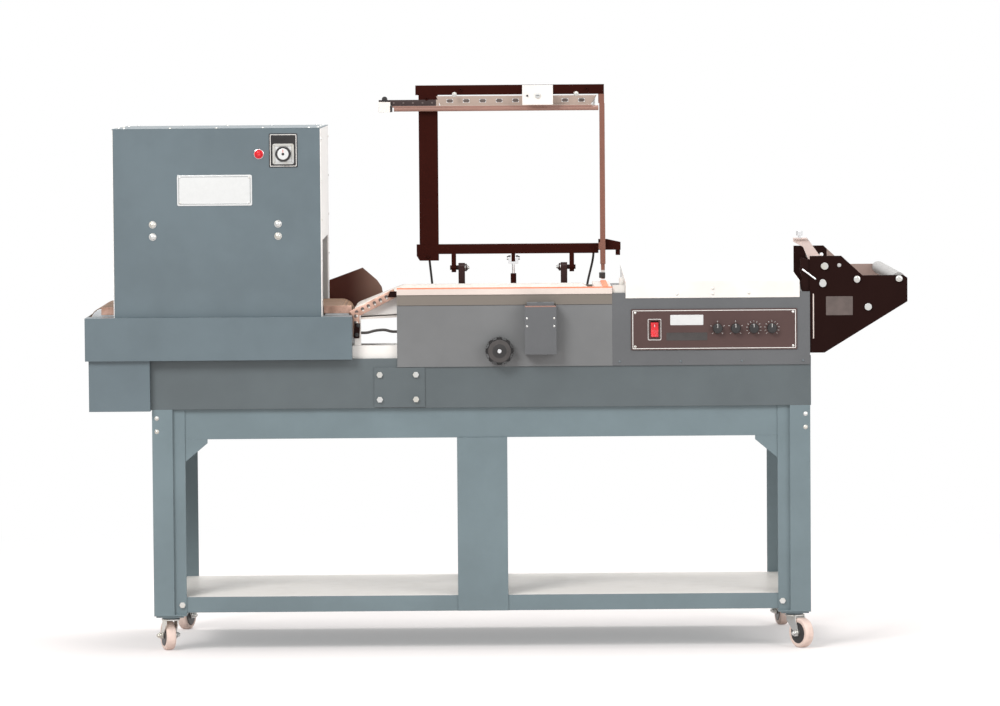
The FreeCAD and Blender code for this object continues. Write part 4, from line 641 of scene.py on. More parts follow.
@dataclass
class Studio:
    """Pale floor, plain white surroundings, soft lamps and the camera."""

    floor_half: float = 14.0
    floor_lift: float = 0.30
    sky: float = 0.50
    floor_fade: tuple[float, float] = (1.3, 3.2)
    lens: float = 183.07
    sensor: float = 36.0
    eye: tuple[float, float, float] = (0.0082, -13.233, 1.510)
    pitch: float = 3.331
    roll: float = -0.432
    yaw: float = 0.0
    lamps: list[Lamp] = field(default_factory=lambda: [
        Lamp("key_lamp", (-3.2, -5.2, 5.0), (0.0, 0.0, 0.8), 2.6, 330.0),
        Lamp("fill_lamp", (4.2, -4.6, 3.2), (0.0, 0.0, 0.8), 3.2, 120.0),
        Lamp("top_lamp", (0.2, 0.6, 5.2), (0.0, 0.1, 0.8), 3.0, 170.0),
    ])

    def seen_by_eye(self, graph: Graph) -> Signal:
        """One for camera, glossy and transmission rays, which see the plain white."""
        path = graph.add("ShaderNodeLightPath")
        camera = Signal(graph, path.outputs["Is Camera Ray"])
        return camera.larger(Signal(graph, path.outputs["Is Glossy Ray"])).larger(
            Signal(graph, path.outputs["Is Transmission Ray"]))

    def lay_floor(self) -> None:
        """Lays a flat square at the foot of the object: lit floor plus a lift that makes it white."""
        half = self.floor_half
        mesh = bpy.data.meshes.new("floor")
        mesh.from_pydata([(-half, -half, 0.0), (half, -half, 0.0), (half, half, 0.0), (-half, half, 0.0)],
                         [], [(0, 1, 2, 3)])
        floor = bpy.data.objects.new("floor", mesh)
        bpy.context.scene.collection.objects.link(floor)
        graph = Graph("floor_white")
        grain = graph.noise(3.0, 4.0)
        tone = graph.blend(grain, (0.70, 0.655, 0.64), (0.72, 0.675, 0.66))
        lit = graph.add("ShaderNodeBsdfDiffuse", None, {"Color": tone}).outputs[0]
        glow = graph.add("ShaderNodeEmission", None, {"Color": (1.0, 1.0, 1.0), "Strength": self.floor_lift}).outputs[0]
        both = graph.add("ShaderNodeAddShader", None, {0: lit, 1: glow}).outputs[0]
        along, deep, _ = graph.axes()
        far = (along * along + deep * deep) ** 0.5
        white = graph.add("ShaderNodeEmission", None, {"Color": (1.0, 1.0, 1.0), "Strength": 1.0}).outputs[0]
        near = graph.add("ShaderNodeMixShader", None, {0: far.ramp(*self.floor_fade), 1: both, 2: white}).outputs[0]
        mixed = graph.add("ShaderNodeMixShader", None, {0: self.seen_by_eye(graph), 1: lit, 2: near})
        graph.tree.links.new(mixed.outputs[0], graph.output.inputs[0])
        mesh.materials.append(graph.material)

    def fill_sky(self) -> None:
        """Surrounds the object with even light that the eye sees as white."""
        world = bpy.data.worlds.new("studio")
        bpy.context.scene.world = world
        world.use_nodes = True
        graph = Graph("studio", world)
        plain = graph.add("ShaderNodeBackground", None, {"Color": (1.0, 1.0, 1.0), "Strength": self.sky})
        white = graph.add("ShaderNodeBackground", None, {"Color": (1.0, 1.0, 1.0), "Strength": 1.0})
        mixed = graph.add("ShaderNodeMixShader", None,
                          {0: self.seen_by_eye(graph), 1: plain.outputs[0], 2: white.outputs[0]})
        graph.tree.links.new(mixed.outputs[0], graph.output.inputs[0])

    def set_camera(self) -> None:
        """Stands the camera in front, tipped down by the pitch and rolled a little."""
        data = bpy.data.cameras.new("camera")
        data.sensor_width = self.sensor
        data.lens = self.lens
        data.clip_end = 60.0
        camera = bpy.data.objects.new("camera", data)
        turn = (Matrix.Rotation(math.radians(self.yaw), 4, "Z")
                @ Matrix.Rotation(math.radians(90.0 - self.pitch), 4, "X")
                @ Matrix.Rotation(math.radians(self.roll), 4, "Z"))
        camera.matrix_world = Matrix.Translation(self.eye) @ turn
        bpy.context.scene.collection.objects.link(camera)
        bpy.context.scene.camera = camera

    def build(self) -> None:
        """Puts the whole studio up."""
        scene = bpy.context.scene
        scene.view_settings.view_transform = "Standard"
        self.lay_floor()
        self.fill_sky()
        for lamp in self.lamps:
            lamp.hang()
        self.set_camera()
        LOG.info("studio: floor, sky, %d lamps, camera", len(self.lamps))


# ---------------------------------------------------------------- surfaces


@dataclass(frozen=True)
class Extent:
    """The box of a CAD node at rest, in millimetres."""

    low: np.ndarray
    high: np.ndarray

    @classmethod
    def of(cls, node: str) -> "Extent":
        """Measures a CAD node."""
        low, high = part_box(node)
        return cls(np.array(low) / METRE, np.array(high) / METRE)

    def at(self, x: float, y: float, z: float) -> np.ndarray:
        """Returns the point at three fractions of the box, 0 low and 1 high."""
        return self.low + (self.high - self.low) * np.array([x, y, z])

    @property
    def middle(self) -> np.ndarray:
        """The centre of the box."""
        return self.at(0.5, 0.5, 0.5)


@dataclass(frozen=True)
class Pivot:
    """A joint's axis: a point in millimetres and a unit direction."""

    at: np.ndarray
    along: np.ndarray

    @classmethod
    def of(cls, joint: str) -> "Pivot":
        """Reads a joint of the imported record."""
        found = next(item for item in frame["joints"] if item["name"] == joint)
        along = np.array(found["axis"], float)
        return cls(np.array(found["pos_m"], float) / METRE, along / np.linalg.norm(along))


@dataclass
class Shell:
    """One surface: points in millimetres, and faces as lists of point numbers."""

    points: np.ndarray
    faces: list[list[int]]

    def moved(self, *offset: float) -> "Shell":
        """Returns the surface shifted by x, y and z."""
        return Shell(self.points + np.array(offset, float), self.faces)

    def turned_about(self, at: Point, along: Point, degrees: float) -> "Shell":
        """Returns the surface turned about an axis.

        Args:
            at: a point of the axis.
            along: its direction.
            degrees: the angle, right-handed.

        Returns:
            The turned surface.
        """
        turn = np.array(Matrix.Rotation(math.radians(degrees), 3, Vector(along)))
        return Shell((self.points - np.array(at)) @ turn.T + np.array(at), self.faces)


def basis(along: Point, up: Point = (0.0, 0.0, 1.0)) -> np.ndarray:
    """Returns three rows: side, rise and the axis itself, at right angles to each other."""
    axis = np.array(along, float)
    axis /= np.linalg.norm(axis)
    rise = np.array(up, float)
    if abs(rise @ axis) > 0.95 * np.linalg.norm(rise):
        rise = np.array([0.0, 1.0, 0.0]) if abs(axis[1]) < 0.9 else np.array([1.0, 0.0, 0.0])
    rise = rise - (rise @ axis) * axis
    rise /= np.linalg.norm(rise)
    return np.stack([np.cross(rise, axis), rise, axis])


def skin(rings: np.ndarray, loop: bool = False) -> Shell:
    """Covers a stack of closed rings.

    The surface is S(i, j) = rings[i, j], where j runs round the ring and i along
    the stack. The two ends get flat caps, or the last ring joins the first.

    Args:
        rings: points, shaped (rings, points round, 3).
        loop: whether the stack closes on itself.

    Returns:
        A closed surface.
    """
    count, around = rings.shape[:2]
    index = np.arange(count * around).reshape(count, around)
    first, last = (index, np.roll(index, -1, axis=0)) if loop else (index[:-1], index[1:])
    quads = np.stack([first, np.roll(first, -1, 1), np.roll(last, -1, 1), last], -1).reshape(-1, 4)
    faces = quads.tolist()
    if not loop:
        faces += [index[0, ::-1].tolist(), index[-1].tolist()]
    return Shell(rings.reshape(-1, 3), faces)


def turned(profile: Sequence[Point], at: Point, along: Point = (0, 0, 1), sides: int = 32,
           lobes: tuple[int, float] = (0, 0.0)) -> Shell:
    """Turns a profile about an axis.

    A point is at + side r cos t + rise r sin t + axis h, with r swelled by
    1 + depth cos(lobes t) for a rim with lobes.

    Args:
        profile: (radius, height) pairs from one end to the other.
        at: the origin of the heights.
        along: the axis.
        sides: points round.
        lobes: how many lobes, and their depth as a share of the radius.

    Returns:
        A closed surface.
    """
    radius, height = np.array(profile, float).T
    angle = np.linspace(0.0, 2.0 * np.pi, sides, endpoint=False)
    side, rise, axis = basis(along)
    swell = 1.0 + lobes[1] * np.cos(lobes[0] * angle)
    ring = (np.cos(angle)[:, None] * side + np.sin(angle)[:, None] * rise) * swell[:, None]
    return skin(np.array(at, float) + radius[:, None, None] * ring + height[:, None, None] * axis)


def rounded(width: float, height: float, corner: float, steps: int = 5) -> np.ndarray:
    """Outline of a rectangle about the origin, each corner a quarter circle."""
    angle = np.linspace(0.0, np.pi / 2.0, steps)
    arc = np.stack([np.cos(angle), np.sin(angle)], -1) * corner
    quarter = np.arange(4)
    centres = np.array([[1, 1], [-1, 1], [-1, -1], [1, -1]]) * [width / 2 - corner, height / 2 - corner]
    cos, sin = np.cos(quarter * np.pi / 2), np.sin(quarter * np.pi / 2)
    turn = np.stack([np.stack([cos, -sin], -1), np.stack([sin, cos], -1)], 1)
    return (np.einsum("qab,nb->qna", turn, arc) + centres[:, None, :]).reshape(-1, 2)


def circle(radius: float, sides: int = 24) -> np.ndarray:
    """Outline of a circle about the origin."""
    angle = np.linspace(0.0, 2.0 * np.pi, sides, endpoint=False)
    return np.stack([np.cos(angle), np.sin(angle)], -1) * radius


def shrunk(outline: np.ndarray, by: float) -> np.ndarray:
    """Moves each corner of a counter-clockwise outline inwards along its bisector."""
    edge = np.roll(outline, -1, 0) - outline
    edge = edge / np.linalg.norm(edge, axis=1, keepdims=True)
    inward = np.stack([-edge[:, 1], edge[:, 0]], -1)
    before = np.roll(inward, 1, 0)
    share = 1.0 + np.sum(inward * before, axis=1, keepdims=True)
    return outline + by * (inward + before) / np.maximum(share, 0.2)


def slab(outline: np.ndarray, thick: float, at: Point, along: Point = (0, 0, 1), up: Point = (0, 0, 1),
         soft: float = 0.4) -> Shell:
    """Gives an outline a thickness, with its edges eased.

    The rings are the outline shrunk by the easing, the outline twice, and the
    shrunk outline again, at rising heights along the axis.

    Args:
        outline: (side, rise) pairs, counter-clockwise.
        thick: how far it stands up along the axis.
        at: the place of the outline's origin.
        along: the direction that the face looks.
        up: roughly the outline's rise.
        soft: the easing of the edges.

    Returns:
        A closed surface.
    """
    side, rise, axis = basis(along, up)
    small = shrunk(outline, soft)
    flat = np.stack([small, outline, outline, small])
    height = np.array([0.0, soft, thick - soft, thick])
    return skin(np.array(at, float) + flat[..., :1] * side + flat[..., 1:] * rise
                + height[:, None, None] * axis)


def block(low: Point, high: Point, soft: float = 0.5) -> Shell:
    """A box between two corners with eased edges, as a slab standing on its lowest face."""
    low, high = np.minimum(low, high).astype(float), np.maximum(low, high).astype(float)
    size = high - low
    outline = rounded(size[0], size[1], min(soft, size[0] / 3, size[1] / 3), 3)
    centre = (low + high) / 2
    return slab(outline, size[2], (centre[0], centre[1], low[2]), (0, 0, 1), (0, 1, 0), min(soft, size[2] / 3))


def swept(profile: np.ndarray, path: np.ndarray, up: Point = (0, 0, 1), loop: bool = False) -> Shell:
    """Carries a closed profile along a path.

    Each ring is the profile laid in the plane across the path there, with its
    second coordinate kept towards the given up direction.

    Args:
        profile: (across, up) pairs.
        path: points of the path.
        up: the direction that the profile's second coordinate follows.
        loop: whether the path closes on itself.

    Returns:
        A closed surface.
    """
    if loop:
        tangent = np.roll(path, -1, 0) - np.roll(path, 1, 0)
    else:
        tangent = np.gradient(path, axis=0)
    tangent = tangent / np.linalg.norm(tangent, axis=1, keepdims=True)
    rise = np.array(up, float) - (tangent @ np.array(up, float))[:, None] * tangent
    rise = rise / np.linalg.norm(rise, axis=1, keepdims=True)
    side = np.cross(rise, tangent)
    return skin(path[:, None] + profile[:, :1] * side[:, None] + profile[:, 1:] * rise[:, None], loop)


def bordered(outline: np.ndarray, width: float, height: float, at: Point, along: Point,
             up: Point = (0, 0, 1)) -> Shell:
    """A raised border: a flat strip of four corners that follows an outline inside its edge."""
    side, rise, axis = basis(along, up)
    rings = np.stack([outline, outline, shrunk(outline, width), shrunk(outline, width)])
    lift = np.array([0.0, height, height, 0.0])
    points = (np.array(at, float) + rings[..., :1] * side + rings[..., 1:] * rise
              + lift[:, None, None] * axis)
    return skin(points.transpose(1, 0, 2), loop=True)


def spring(radius: float, wire: float, turns: float, start: Point, end: Point, steps: int = 14) -> Shell:
    """A coil spring: a round wire carried along start + (end - start) s with the circle cos, sin of turns."""
    first, last = np.array(start, float), np.array(end, float)
    side, rise, _ = basis(last - first)
    share = np.linspace(0.0, 1.0, int(turns * steps) + 1)[:, None]
    angle = 2.0 * np.pi * turns * share
    path = first + (last - first) * share + radius * (np.cos(angle) * side + np.sin(angle) * rise)
    return swept(circle(wire, 6), path, last - first)


# ---------------------------------------------------------------- fasteners


class Head(Enum):
    """Shape of a fastener's head."""

    HEX = "hexagon bolt"
    DOME = "dome bolt"
    PAN = "pan-head screw"
    SOCKET = "socket cap screw"
    NUT = "hexagon nut on a thread"


@dataclass(frozen=True)
class Fastener:
    """One kind of screw or bolt, drawn from its head's radius."""

    head: Head
    radius: float

    def at(self, place: Point, along: Point) -> list[Shell]:
        """Builds the head and its washer.

        Args:
            place: where its axis meets the surface.
            along: the way that the head looks.

        Returns:
            The closed surfaces of the fastener.
        """
        r = self.radius
        start = np.array(place, float)
        washer = turned([(r * 1.25, 0.0), (r * 1.3, 0.3), (r * 1.25, r * 0.18)], start, along, 24)
        if self.head is Head.HEX:
            cap = turned([(r, r * 0.15), (r, r * 0.65), (r * 0.86, r * 0.78)], start, along, 6)
            return [washer, cap]
        if self.head is Head.NUT:
            nut = turned([(r * 0.9, r * 0.15), (r, r * 0.25), (r, r * 0.85), (r * 0.86, r)], start, along, 6)
            stud = turned([(r * 0.5, r * 0.9), (r * 0.5, r * 1.35), (r * 0.42, r * 1.45)], start, along, 16)
            return [washer, nut, stud]
        angle = np.linspace(0.0, np.pi / 2.0, 7)
        if self.head is Head.SOCKET:
            cup = [(r, 0.0), (r, r * 0.85), (r * 0.9, r), (r * 0.5, r), (r * 0.42, r * 0.5), (r * 0.02, r * 0.45)]
            return [turned(cup, start, along, 20)]
        rise = r * (0.6 if self.head is Head.DOME else 0.45)
        dome = np.stack([r * np.cos(angle * 0.98), rise * np.sin(angle) + r * 0.1], -1)
        cap = turned([(r, 0.0), *dome.tolist()], start, along, 20)
        if self.head is Head.DOME:
            return [washer, cap]
        side, up, axis = basis(along)
        bars = [slab(rounded(*size, 0.12, 2), 0.25, start + axis * (rise + r * 0.02), along, up, 0.05)
                for size in ((r * 0.95, r * 0.22), (r * 0.22, r * 0.95))]
        return [cap, *bars]


# ---------------------------------------------------------------- pieces


Finish = tuple[str, object]


@dataclass
class SubAssembly:
    """A group of pieces that are made with one book of finishes."""

    book: FinishBook

    def piece(self, name: str, body: str | None, slot: str, parts: Sequence[tuple[Sequence[Shell], Finish]],
              crease: float = 32.0) -> bpy.types.Object:
        """Joins surfaces to one object that rides on a body.

        Args:
            name: the object's name.
            body: the CAD body that it rides on, or none for a piece that runs between two and is attached to neither.
            slot: the material slot of the record that it belongs to; not used.
            parts: surfaces with the finish that they share.
            crease: the angle in degrees above which an edge stays sharp.

        Returns:
            The object.
        """
        points: list[np.ndarray] = []
        faces: list[list[int]] = []
        slots: list[int] = []
        mesh = bpy.data.meshes.new(name)
        base = 0
        for number, (shells, (title, finish)) in enumerate(parts):
            mesh.materials.append(self.book.get(title, finish))
            for shell in shells:
                points.append(shell.points)
                faces += [[base + index for index in face] for face in shell.faces]
                slots += [number] * len(shell.faces)
                base += len(shell.points)
        mesh.from_pydata((np.concatenate(points) * METRE).tolist(), [], faces)
        mesh.polygons.foreach_set("material_index", slots)
        shape = bmesh.new()
        shape.from_mesh(mesh)
        bmesh.ops.recalc_face_normals(shape, faces=shape.faces)
        shape.to_mesh(mesh)
        shape.free()
        mesh.shade_smooth()
        mesh.set_sharp_from_angle(angle=math.radians(crease))
        item = bpy.data.objects.new(name, mesh)
        bpy.context.scene.collection.objects.link(item)
        if body:
            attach(item, body)
        LOG.info("%s rides on %s, %d faces", name, body, len(faces))
        return item

    def fasteners(self, name: str, body: str, kind: Fastener, places: Sequence[Point], along: Point,
                  finish: Finish, slot: str = "zinc_steel") -> bpy.types.Object:
        """Makes one object of several equal fasteners.

        Args:
            name: the object's name.
            body: the CAD body that it rides on.
            kind: the fastener.
            places: where each one's axis meets the surface.
            along: the way that the heads look.
            finish: their finish.
            slot: the material slot of the record.

        Returns:
            The object.
        """
        shells = [shell for place in places for shell in kind.at(place, along)]
        return self.piece(name, body, slot, [(shells, finish)])


# ---------------------------------------------------------------- the tunnel

FRONT_WAY = (0.0, -1.0, 0.0)
BACK_WAY = (0.0, 1.0, 0.0)
UP_WAY = (0.0, 0.0, 1.0)
RIGHT_WAY = (1.0, 0.0, 0.0)
LEFT_WAY = (-1.0, 0.0, 0.0)


def spaced(start: float, end: float, count: int) -> list[float]:
    """Returns evenly spaced places, both ends included."""
    return np.linspace(start, end, count).tolist()


@dataclass
class TunnelFittings(SubAssembly):
    """Plates, screws, dial and louvres on the shrink tunnel's casing; sizes in millimetres."""

    name_plate: tuple[float, float] = (190.0, 78.0)
    name_plate_from_left: float = 164.0
    name_plate_below_top: float = 118.0
    dial_plate: tuple[float, float] = (72.0, 86.0)
    dial_rise: float = 9.0
    bolt_radius: float = 7.5
    bolts_in: tuple[float, float] = (101.0, 419.0)
    bolts_down: tuple[float, float] = (243.0, 274.0)
    louvre: tuple[float, float] = (150.0, 7.0)

    def build(self) -> None:
        """Builds every fitting of the tunnel."""
        self.casing = Extent.of("tunnel_casing")
        self.face = self.casing.low[1]
        self.hang_name_plate()
        self.fix_dial_plate()
        self.fix_dial_marks()
        self.ring_lamp()
        self.fix_screws()
        self.cut_louvres()
        self.hang_curtain_bars()

    def front(self, in_from_left: float, below_top: float) -> np.ndarray:
        """Returns a point of the front panel, measured from its upper left corner."""
        return np.array([self.casing.low[0] + in_from_left, self.face, self.casing.high[2] - below_top])

    def hang_name_plate(self) -> None:
        """A bare brushed plate with a ruled border, held by four small screws."""
        wide, tall = self.name_plate
        centre = self.front(self.name_plate_from_left + wide / 2, self.name_plate_below_top + tall / 2)
        plate = slab(rounded(wide, tall, 4.0), 1.6, centre, FRONT_WAY, UP_WAY, 0.4)
        rule = bordered(rounded(wide - 8, tall - 8, 3.0), 1.2, 0.25, centre + [0, -1.6, 0], FRONT_WAY)
        self.piece("tunnel_name_plate", "root", "zinc_steel",
                   [([plate], ("plate_brushed", PLATE_BRUSHED)), ([rule], ("dark_slate", SLATE_DARK))])
        corners = [centre + [x * (wide / 2 - 7), -1.6, z * (tall / 2 - 7)] for x in (-1, 1) for z in (-1, 1)]
        self.fasteners("name_plate_screws", "root", Fastener(Head.PAN, 2.6), corners, FRONT_WAY, ("zinc", ZINC))

    def fix_dial_plate(self) -> None:
        """Black plate with a white border and a bright square frame round the thermostat."""
        dial = Extent.of("thermostat_dial").middle
        wide, tall = self.dial_plate
        centre = np.array([dial[0], self.face, dial[2] + self.dial_rise])
        plate = slab(rounded(wide, tall, 2.5), 1.2, centre, FRONT_WAY, UP_WAY, 0.3)
        border = bordered(rounded(wide - 5, tall - 5, 2.0), 1.6, 0.3, centre + [0, -1.2, 0], FRONT_WAY)
        frame_at = np.array([dial[0], self.face - 1.2, dial[2]])
        bright = bordered(rounded(54, 52, 5.0), 6.5, 2.2, frame_at, FRONT_WAY)
        inner = slab(rounded(44, 42, 3.0), 0.8, frame_at, FRONT_WAY, UP_WAY, 0.2)
        self.piece("thermostat_plate", "root", "black_plastic",
                   [([plate], ("label_and_recess_shade_black", LABEL_AND_RECESS_SHADE_BLACK)), ([border], ("label_white", LABEL_WHITE)),
                    ([bright], ("zinc", ZINC)), ([inner], ("plate_brushed", PLATE_BRUSHED))])

    def fix_dial_marks(self) -> None:
        """Scale of short strokes round the dial, and a pointer, a bright disc and a dot that turn with it."""
        dial = Extent.of("thermostat_dial")
        centre = dial.middle
        marks = [slab(rounded(0.8, 3.0, 0.3, 2), 0.3, (centre[0], self.face - 2.0, centre[2] + 18.4),
                      FRONT_WAY, UP_WAY, 0.08).turned_about(centre, BACK_WAY, turn)
                 for turn in spaced(-135, 135, 19)]
        self.piece("thermostat_scale", "root", "black_plastic", [(marks, ("label_and_recess_shade_black", LABEL_AND_RECESS_SHADE_BLACK))])
        nose = dial.low[1]
        disc = turned([(13.5, 0.0), (14.2, 0.5), (13.5, 1.0)], (centre[0], nose, centre[2]), FRONT_WAY, 48)
        dot = turned([(3.6, 0.0), (3.6, 1.4), (2.8, 1.8)], (centre[0], nose, centre[2]), FRONT_WAY, 20)
        pointer = slab(rounded(1.6, 9.0, 0.6, 3), 0.5, (centre[0], nose - 1.0, centre[2] + 7.6), FRONT_WAY,
                       UP_WAY, 0.1)
        self.piece("thermostat_face", "thermostat_dial", "black_plastic",
                   [([disc], ("plate_brushed", PLATE_BRUSHED)), ([dot], ("black_plastic", BLACK_PLASTIC)),
                    ([pointer], ("pointer_red", POINTER_RED))])

    def ring_lamp(self) -> None:
        """Bright bezel round the pilot lamp."""
        lamp = Extent.of("pilot_lamp")
        centre = lamp.middle
        radius = (lamp.high[0] - lamp.low[0]) / 2
        collar = circle(0.9, 8) + [radius + 0.4, 0.0]
        angle = np.linspace(0.0, 2.0 * np.pi, 32, endpoint=False)[:, None, None]
        side, rise, axis = basis(FRONT_WAY)
        around = np.cos(angle) * side + np.sin(angle) * rise
        rings = np.array([centre[0], self.face, centre[2]]) + collar[:, :1] * around + (collar[:, 1:] + 0.9) * axis
        self.piece("pilot_bezel", "root", "chrome", [([skin(rings, loop=True)], ("chrome", CHROME))])

    def fix_screws(self) -> None:
        """Dome bolts on the front, pan-head screws along the cover's edges and on the end plates."""
        low, high = self.casing.low, self.casing.high
        bolts = [self.front(x, z) for x in self.bolts_in for z in self.bolts_down]
        self.fasteners("tunnel_front_bolts", "root", Fastener(Head.DOME, self.bolt_radius), bolts, FRONT_WAY,
                       ("zinc", ZINC))
        edge = [(x, y, high[2]) for x in spaced(low[0] + 30, high[0] - 30, 5)
                for y in (low[1] + 10, high[1] - 10)]
        edge += [(x, y, high[2]) for x in (low[0] + 10, high[0] - 10) for y in spaced(low[1] + 100, high[1] - 100, 3)]
        self.fasteners("tunnel_cover_screws", "root", Fastener(Head.PAN, 4.0), edge, UP_WAY, ("zinc", ZINC))
        for side, x, way in (("entry", high[0], RIGHT_WAY), ("exit", low[0], LEFT_WAY)):
            places = [(x, y, z) for y in (low[1] + 22, high[1] - 22) for z in spaced(low[2] + 40, high[2] - 30, 5)]
            self.fasteners(f"{side}_plate_screws", "root", Fastener(Head.PAN, 3.4), places, way, ("zinc", ZINC))

    def cut_louvres(self) -> None:
        """Rear service cover with pressed louvres, set in a grid, and its screws."""
        low, high = self.casing.low, self.casing.high
        middle, back = (low[0] + high[0]) / 2, high[1]
        centre = np.array([middle, back, high[2] - 170])
        cover = slab(rounded(400, 240, 6.0), 1.5, centre, BACK_WAY, UP_WAY, 0.4)
        wide, tall = self.louvre
        arch = np.linspace(0.0, np.pi, 9)
        hood = np.stack([tall * np.cos(arch) * 0.6, 5.0 * np.sin(arch)], -1)
        blades = [swept(hood, np.array([centre + [x, 1.5, z] + [s, 0, 0] for s in (-wide / 2, wide / 2)]), BACK_WAY)
                  for x in (-88.0, 88.0) for z in spaced(-84, 84, 9)]
        self.piece("tunnel_rear_cover", "root", "frame_paint", [([cover, *blades], ("slate_paint", SLATE))])
        places = [centre + [x * 190, 1.5, z * 110] for x in (-1, 1) for z in (-1, 1)]
        self.fasteners("rear_cover_screws", "root", Fastener(Head.PAN, 4.0), places, BACK_WAY, ("zinc", ZINC))

    def hang_curtain_bars(self) -> None:
        """Clamping bar and screws over the top of each curtain, which swing with it."""
        for name in ("entry_curtain", "exit_curtain"):
            box = Extent.of(name)
            pivot = Pivot.of(f"{name}_swing").at
            top = pivot[2] - 7
            outward = 1.0 if name == "entry_curtain" else -1.0
            face = box.high[0] if outward > 0 else box.low[0]
            bar = block((face - outward * 0.5, box.low[1] + 4, top - 18), (face + outward * 1.2, box.high[1] - 4, top), 0.4)
            self.piece(f"{name}_clamp", name, "curtain_rubber", [([bar], ("stainless", STAINLESS))])
            places = [(face + outward * 1.2, y, top - 9) for y in spaced(box.low[1] + 24, box.high[1] - 24, 8)]
            self.fasteners(f"{name}_screws", name, Fastener(Head.PAN, 3.0), places, (outward, 0, 0), ("zinc", ZINC))


# ---------------------------------------------------------------- the control box


@dataclass
class PanelFittings(SubAssembly):
    """Border, screws, bare plate, rocker frame, scales and knob marks; sizes in millimetres."""

    border_in: float = 3.0
    border_wide: float = 1.8
    bare_plate: tuple[float, float] = (84.0, 26.0)
    scale_radius: float = 17.5
    strokes: tuple[int, ...] = (5, 5, 11, 11)

    def build(self) -> None:
        """Builds every fitting of the control panel and the box's own screws."""
        self.panel = Extent.of("control_panel")
        self.rule_border()
        self.fix_plates()
        self.frame_rocker()
        for number, strokes in enumerate(self.strokes, 1):
            self.mark_knob(number, strokes)
        self.fix_box_screws()
        self.fix_rear_inlet()

    @property
    def plate_face(self) -> float:
        """Y of the panel plate's front, behind the rocker's bezel."""
        return Extent.of("control_box").low[1] - 3.0

    def rule_border(self) -> None:
        """White line near the panel's edge, and a dome screw in each corner."""
        wide = self.panel.high[0] - self.panel.low[0]
        tall = self.panel.high[2] - self.panel.low[2]
        centre = np.array([self.panel.middle[0], self.plate_face, self.panel.middle[2]])
        rule = bordered(rounded(wide - 2 * self.border_in, tall - 2 * self.border_in, 2.0), self.border_wide,
                        0.25, centre, FRONT_WAY)
        self.piece("panel_border", "root", "white_paint", [([rule], ("label_white", LABEL_WHITE))])
        corners = [centre + [x * (wide / 2 - 10), 0, z * (tall / 2 - 9)] for x in (-1, 1) for z in (-1, 1)]
        self.fasteners("panel_screws", "root", Fastener(Head.PAN, 3.4), corners, FRONT_WAY, ("zinc", ZINC))

    def fix_plates(self) -> None:
        """Bare brushed plate in the middle of the panel."""
        wide, tall = self.bare_plate
        centre = np.array([self.panel.low[0] + 141, self.plate_face, self.panel.high[2] - 28])
        plate = slab(rounded(wide, tall, 2.0), 0.8, centre, FRONT_WAY, UP_WAY, 0.2)
        strip = slab(rounded(wide + 20, 20.0, 2.0), 0.5, centre + [0, 0, -42], FRONT_WAY, UP_WAY, 0.15)
        self.piece("panel_bare_plates", "root", "zinc_steel",
                   [([plate], ("plate_brushed", PLATE_BRUSHED)), ([strip], ("label_dark", LABEL_DARK))])

    def frame_rocker(self) -> None:
        """White line round the rocker's black bezel, and a raised bar on the rocker."""
        rocker = Extent.of("power_rocker")
        centre = np.array([rocker.middle[0], self.plate_face, rocker.middle[2]])
        rule = bordered(rounded(34, 54, 3.0), 1.6, 0.3, centre, FRONT_WAY)
        self.piece("rocker_border", "root", "white_paint", [([rule], ("label_white", LABEL_WHITE))])
        nose = rocker.low[1]
        upper = slab(rounded(1.4, 6.0, 0.6, 3), 0.5, (centre[0], nose + 0.3, centre[2] + 10), FRONT_WAY, UP_WAY, 0.15)
        self.piece("rocker_mark", "power_rocker", "red_lens", [([upper], ("label_white", LABEL_WHITE))])

    def mark_knob(self, number: int, strokes: int) -> None:
        """Scale strokes on the panel, and the knob's ribs, cap and pointer.

        Args:
            number: which knob, from the left.
            strokes: how many strokes its scale has.
        """
        name = f"control_knob_{number}"
        knob = Extent.of(name)
        centre = knob.middle
        radius = (knob.high[0] - knob.low[0]) / 2
        marks = [slab(rounded(0.9, 4.2, 0.3, 2), 0.3, (centre[0], self.plate_face, centre[2] + self.scale_radius),
                      FRONT_WAY, UP_WAY, 0.08).turned_about(centre, BACK_WAY, turn)
                 for turn in spaced(-135, 135, strokes)]
        self.piece(f"knob_scale_{number}", "root", "white_paint", [(marks, ("label_white", LABEL_WHITE))])
        nose = knob.low[1]
        ribs = [block((centre[0] - 0.7, nose + 2.0, centre[2] + radius - 0.5),
                      (centre[0] + 0.7, nose + 11.0, centre[2] + radius + 0.55), 0.25)
                .turned_about(centre, BACK_WAY, turn) for turn in spaced(0, 345, 24)]
        cap = turned([(radius * 0.72, -0.2), (radius * 0.72, 0.25), (radius * 0.6, 0.35)],
                     (centre[0], nose, centre[2]), FRONT_WAY, 32)
        pointer = block((centre[0] - 0.6, nose - 0.45, centre[2] + 2.5),
                        (centre[0] + 0.6, nose + 0.5, centre[2] + radius - 0.3), 0.2)
        self.piece(f"knob_trim_{number}", name, "black_plastic",
                   [([*ribs, cap], ("black_plastic", BLACK_PLASTIC)), ([pointer], ("label_white", LABEL_WHITE))])

    def fix_box_screws(self) -> None:
        """Screws along the control box's lower front edge and on its rear."""
        box = Extent.of("control_box")
        places = [(x, box.low[1], box.low[2] + 10) for x in spaced(box.low[0] + 18, box.high[0] - 18, 4)]
        self.fasteners("control_box_screws", "root", Fastener(Head.PAN, 3.4), places, FRONT_WAY,
                       ("slate_screws", SLATE_DARK))
        rear = [(x, box.high[1], z) for x in spaced(box.low[0] + 18, box.high[0] - 18, 4)
                for z in (box.low[2] + 14, box.high[2] - 14)]
        self.fasteners("control_box_rear_screws", "root", Fastener(Head.PAN, 3.4), rear, BACK_WAY, ("zinc", ZINC))

